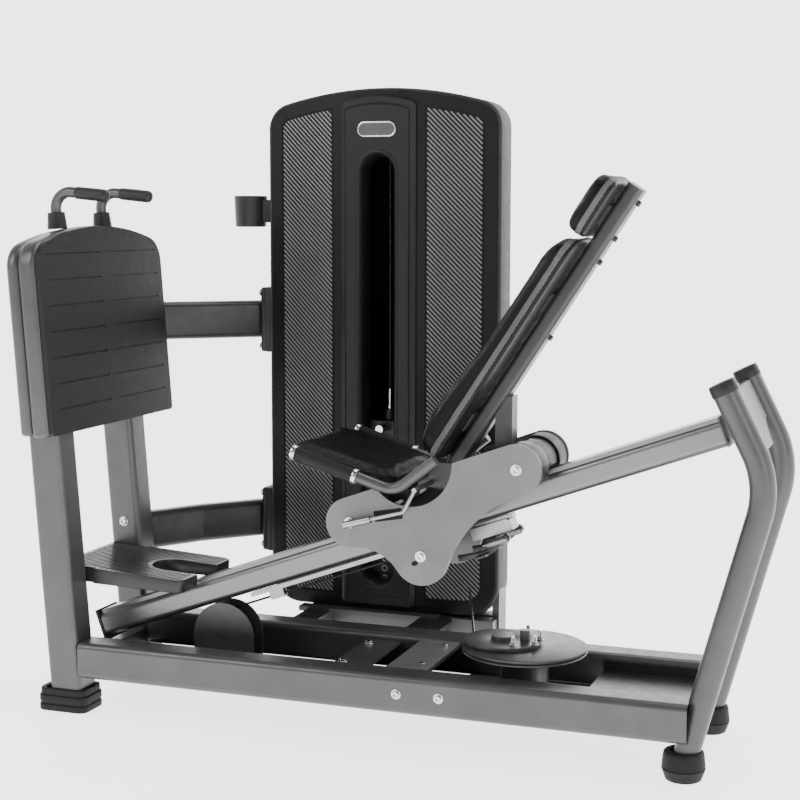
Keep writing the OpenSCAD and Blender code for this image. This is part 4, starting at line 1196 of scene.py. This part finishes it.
def make_cover():
    """Raised edges round the tower's centre cover and its slot."""
    slot = moved(arc(0, 1416, 54, 0, 180, 20) + arc(0, 300, 54, 180, 360, 20), TOWER_X)
    bm = bmesh.new()
    loops = [[bm.verts.new((u, COVER_Y + y, v)) for u, v in inset_loop(slot, d)]
             for d, y in ((-9, 0.2), (-8, -1.4), (-5.5, -2.2), (-2.5, -1.8), (0.5, 0.5), (9, 18), (11, 37),
                          (11, 65), (9, 65), (2, 15), (-6, 1))]
    stitch(bm, loops + [loops[0]])
    piece("slot_rim", bm, UPRIGHT, COVER, "frame")
    bm = bmesh.new()
    hood = moved(arch(97, 214, 1606, 330, 16, 14, 6, 24), TOWER_X)
    loops = [[bm.verts.new((u, COVER_Y + y, v)) for u, v in inset_loop(hood, d)]
             for d, y in ((-0.5, 0.3), (0.3, -1.6), (1.6, -2.4), (3.4, -1.8), (5.0, 0.3), (3, 1), (0, 1))]
    stitch(bm, loops + [loops[0]])
    piece("cover_ridge", bm, UPRIGHT, SHROUD, "frame")
    # Near-black strips fill the grooves beside the cover: painted shade in the gaps.
    bm = bmesh.new()
    for side in (-1, 1):
        x = TOWER_X + side * 104
        y = shroud_face(x)
        groove = [(x - 4.5, y - 1.4), (x + 4.5, y - 1.4), (x + 4.5, y + 3), (x - 4.5, y + 3)]
        prism(groove, 230, 1520, flat, 0.4, 1, bm)
    piece("cover_gaps", bm, UPRIGHT, BLACK_GAP, "frame")


def make_carriage_trim():
    # Thin near-black sheets over the carriage plate's hole and window: painted shade in the openings.
    bm = prism(moved(rounded(17, 11, 5.49, 10), 66, -77), -138.35, -137.9, facing_y, 0.15, 1)
    c, sn = math.cos(math.radians(-10)), math.sin(math.radians(-10))
    window = [(41 + u * c - v * sn, 55 + u * sn + v * c) for u, v in rounded(74, 27, 3, 3)]
    prism(window, -138.35, -137.9, facing_y, 0.15, 1, bm)
    piece("plate_openings_painted_shade", bm, RAIL, MESH_BACK, "carriage")
    bm = bmesh.new()
    for y in (-LATCH_Y, LATCH_Y):
        coil = []
        for i in range(15 * 12 + 1):
            t = i / 12 * 2 * math.pi
            coil.append(Vector((232 + i * 0.30, y + 9 * math.cos(t), -92 + 9 * math.sin(t))))
        tube(bm, coil, 1.6)
        lathe([(0, -8), (4, -8), (4, 66), (0, 66)], 16, bm, shift(228, y, -92) @ turn(90, "Y"))
    piece("latch_springs", bm, RAIL, ZINC, "carriage")
    bm = bmesh.new()
    path = route([(150, -104), (222, -112), (292, -84)], 40, 8)
    for y in (-LATCH_Y, LATCH_Y):
        sweep(path, moved(rounded(8, 16, 3, 3), y), facing_y, bm)
    prism(rounded(30, 190, 4, 3), 0, 6, lambda u, v, w: (u + 214, v, w - 116), 1, 2, bm)
    for y in (-LATCH_Y, LATCH_Y):
        hex_head(bm, shift(286, y + (4 if y > 0 else -4), -88) @ turn(-90 if y > 0 else 90, "X"), 10, 6, 8)
    piece("latch_lever", bm, RAIL, PAINT_SHADE, "carriage")


def make_lift_cable():
    """The cable stays where it hangs, and the rising plates slide up over it."""
    low, high = (UPRIGHT.inverted() @ Vector(p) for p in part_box("lift_cable"))
    x, y = (low.x + high.x) / 2, (low.y + high.y) / 2
    bm = bmesh.new()
    tube(bm, [Vector((x, y, high.z)), Vector((x, y, low.z))], (high.x - low.x) / 2, 24)
    piece("lift_cable_run", bm, UPRIGHT, JACKET, "frame", ["lift_cable"])
    bm = lathe([(3.2, 0), (7.4, 0), (7.8, 1), (7.8, 14), (6.2, 16), (5.6, 60), (4.2, 62), (3.2, 62),
                (3.2, 0)], 28, bmesh.new(), shift(x, y, low.z))
    piece("cable_fitting", bm, UPRIGHT, CHROME, "lift", sharp=25)


def make_rear_screws():
    """Screws round the back of the rear shroud."""
    bm = bmesh.new()
    low, high = (UPRIGHT.inverted() @ Vector(p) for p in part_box("rear_shroud"))
    for x in (low.x + 30, high.x - 30):
        for k in range(5):
            z = low.z + 60 + k * (high.z - low.z - 190) / 4
            socket_screw(bm, shift(x, high.y - 2, z) @ turn(-90, "X"), 5, 8, 3.6)
    piece("rear_shroud_screws", bm, UPRIGHT, ZINC, "frame", sharp=25)


# ---------------------------------------------------------------- the making
stage()
make_pads()
make_tower()
make_footplate()
make_arms()
make_tubes()
make_cover()
make_carriage_trim()
make_lift_cable()
make_rear_screws()
make_handles()
make_step()
make_bolts()
make_axles()
make_rollers()
make_grips()
make_feet()
make_cam()
make_badge()
make_plate_bushes()
make_deck()
make_cup()
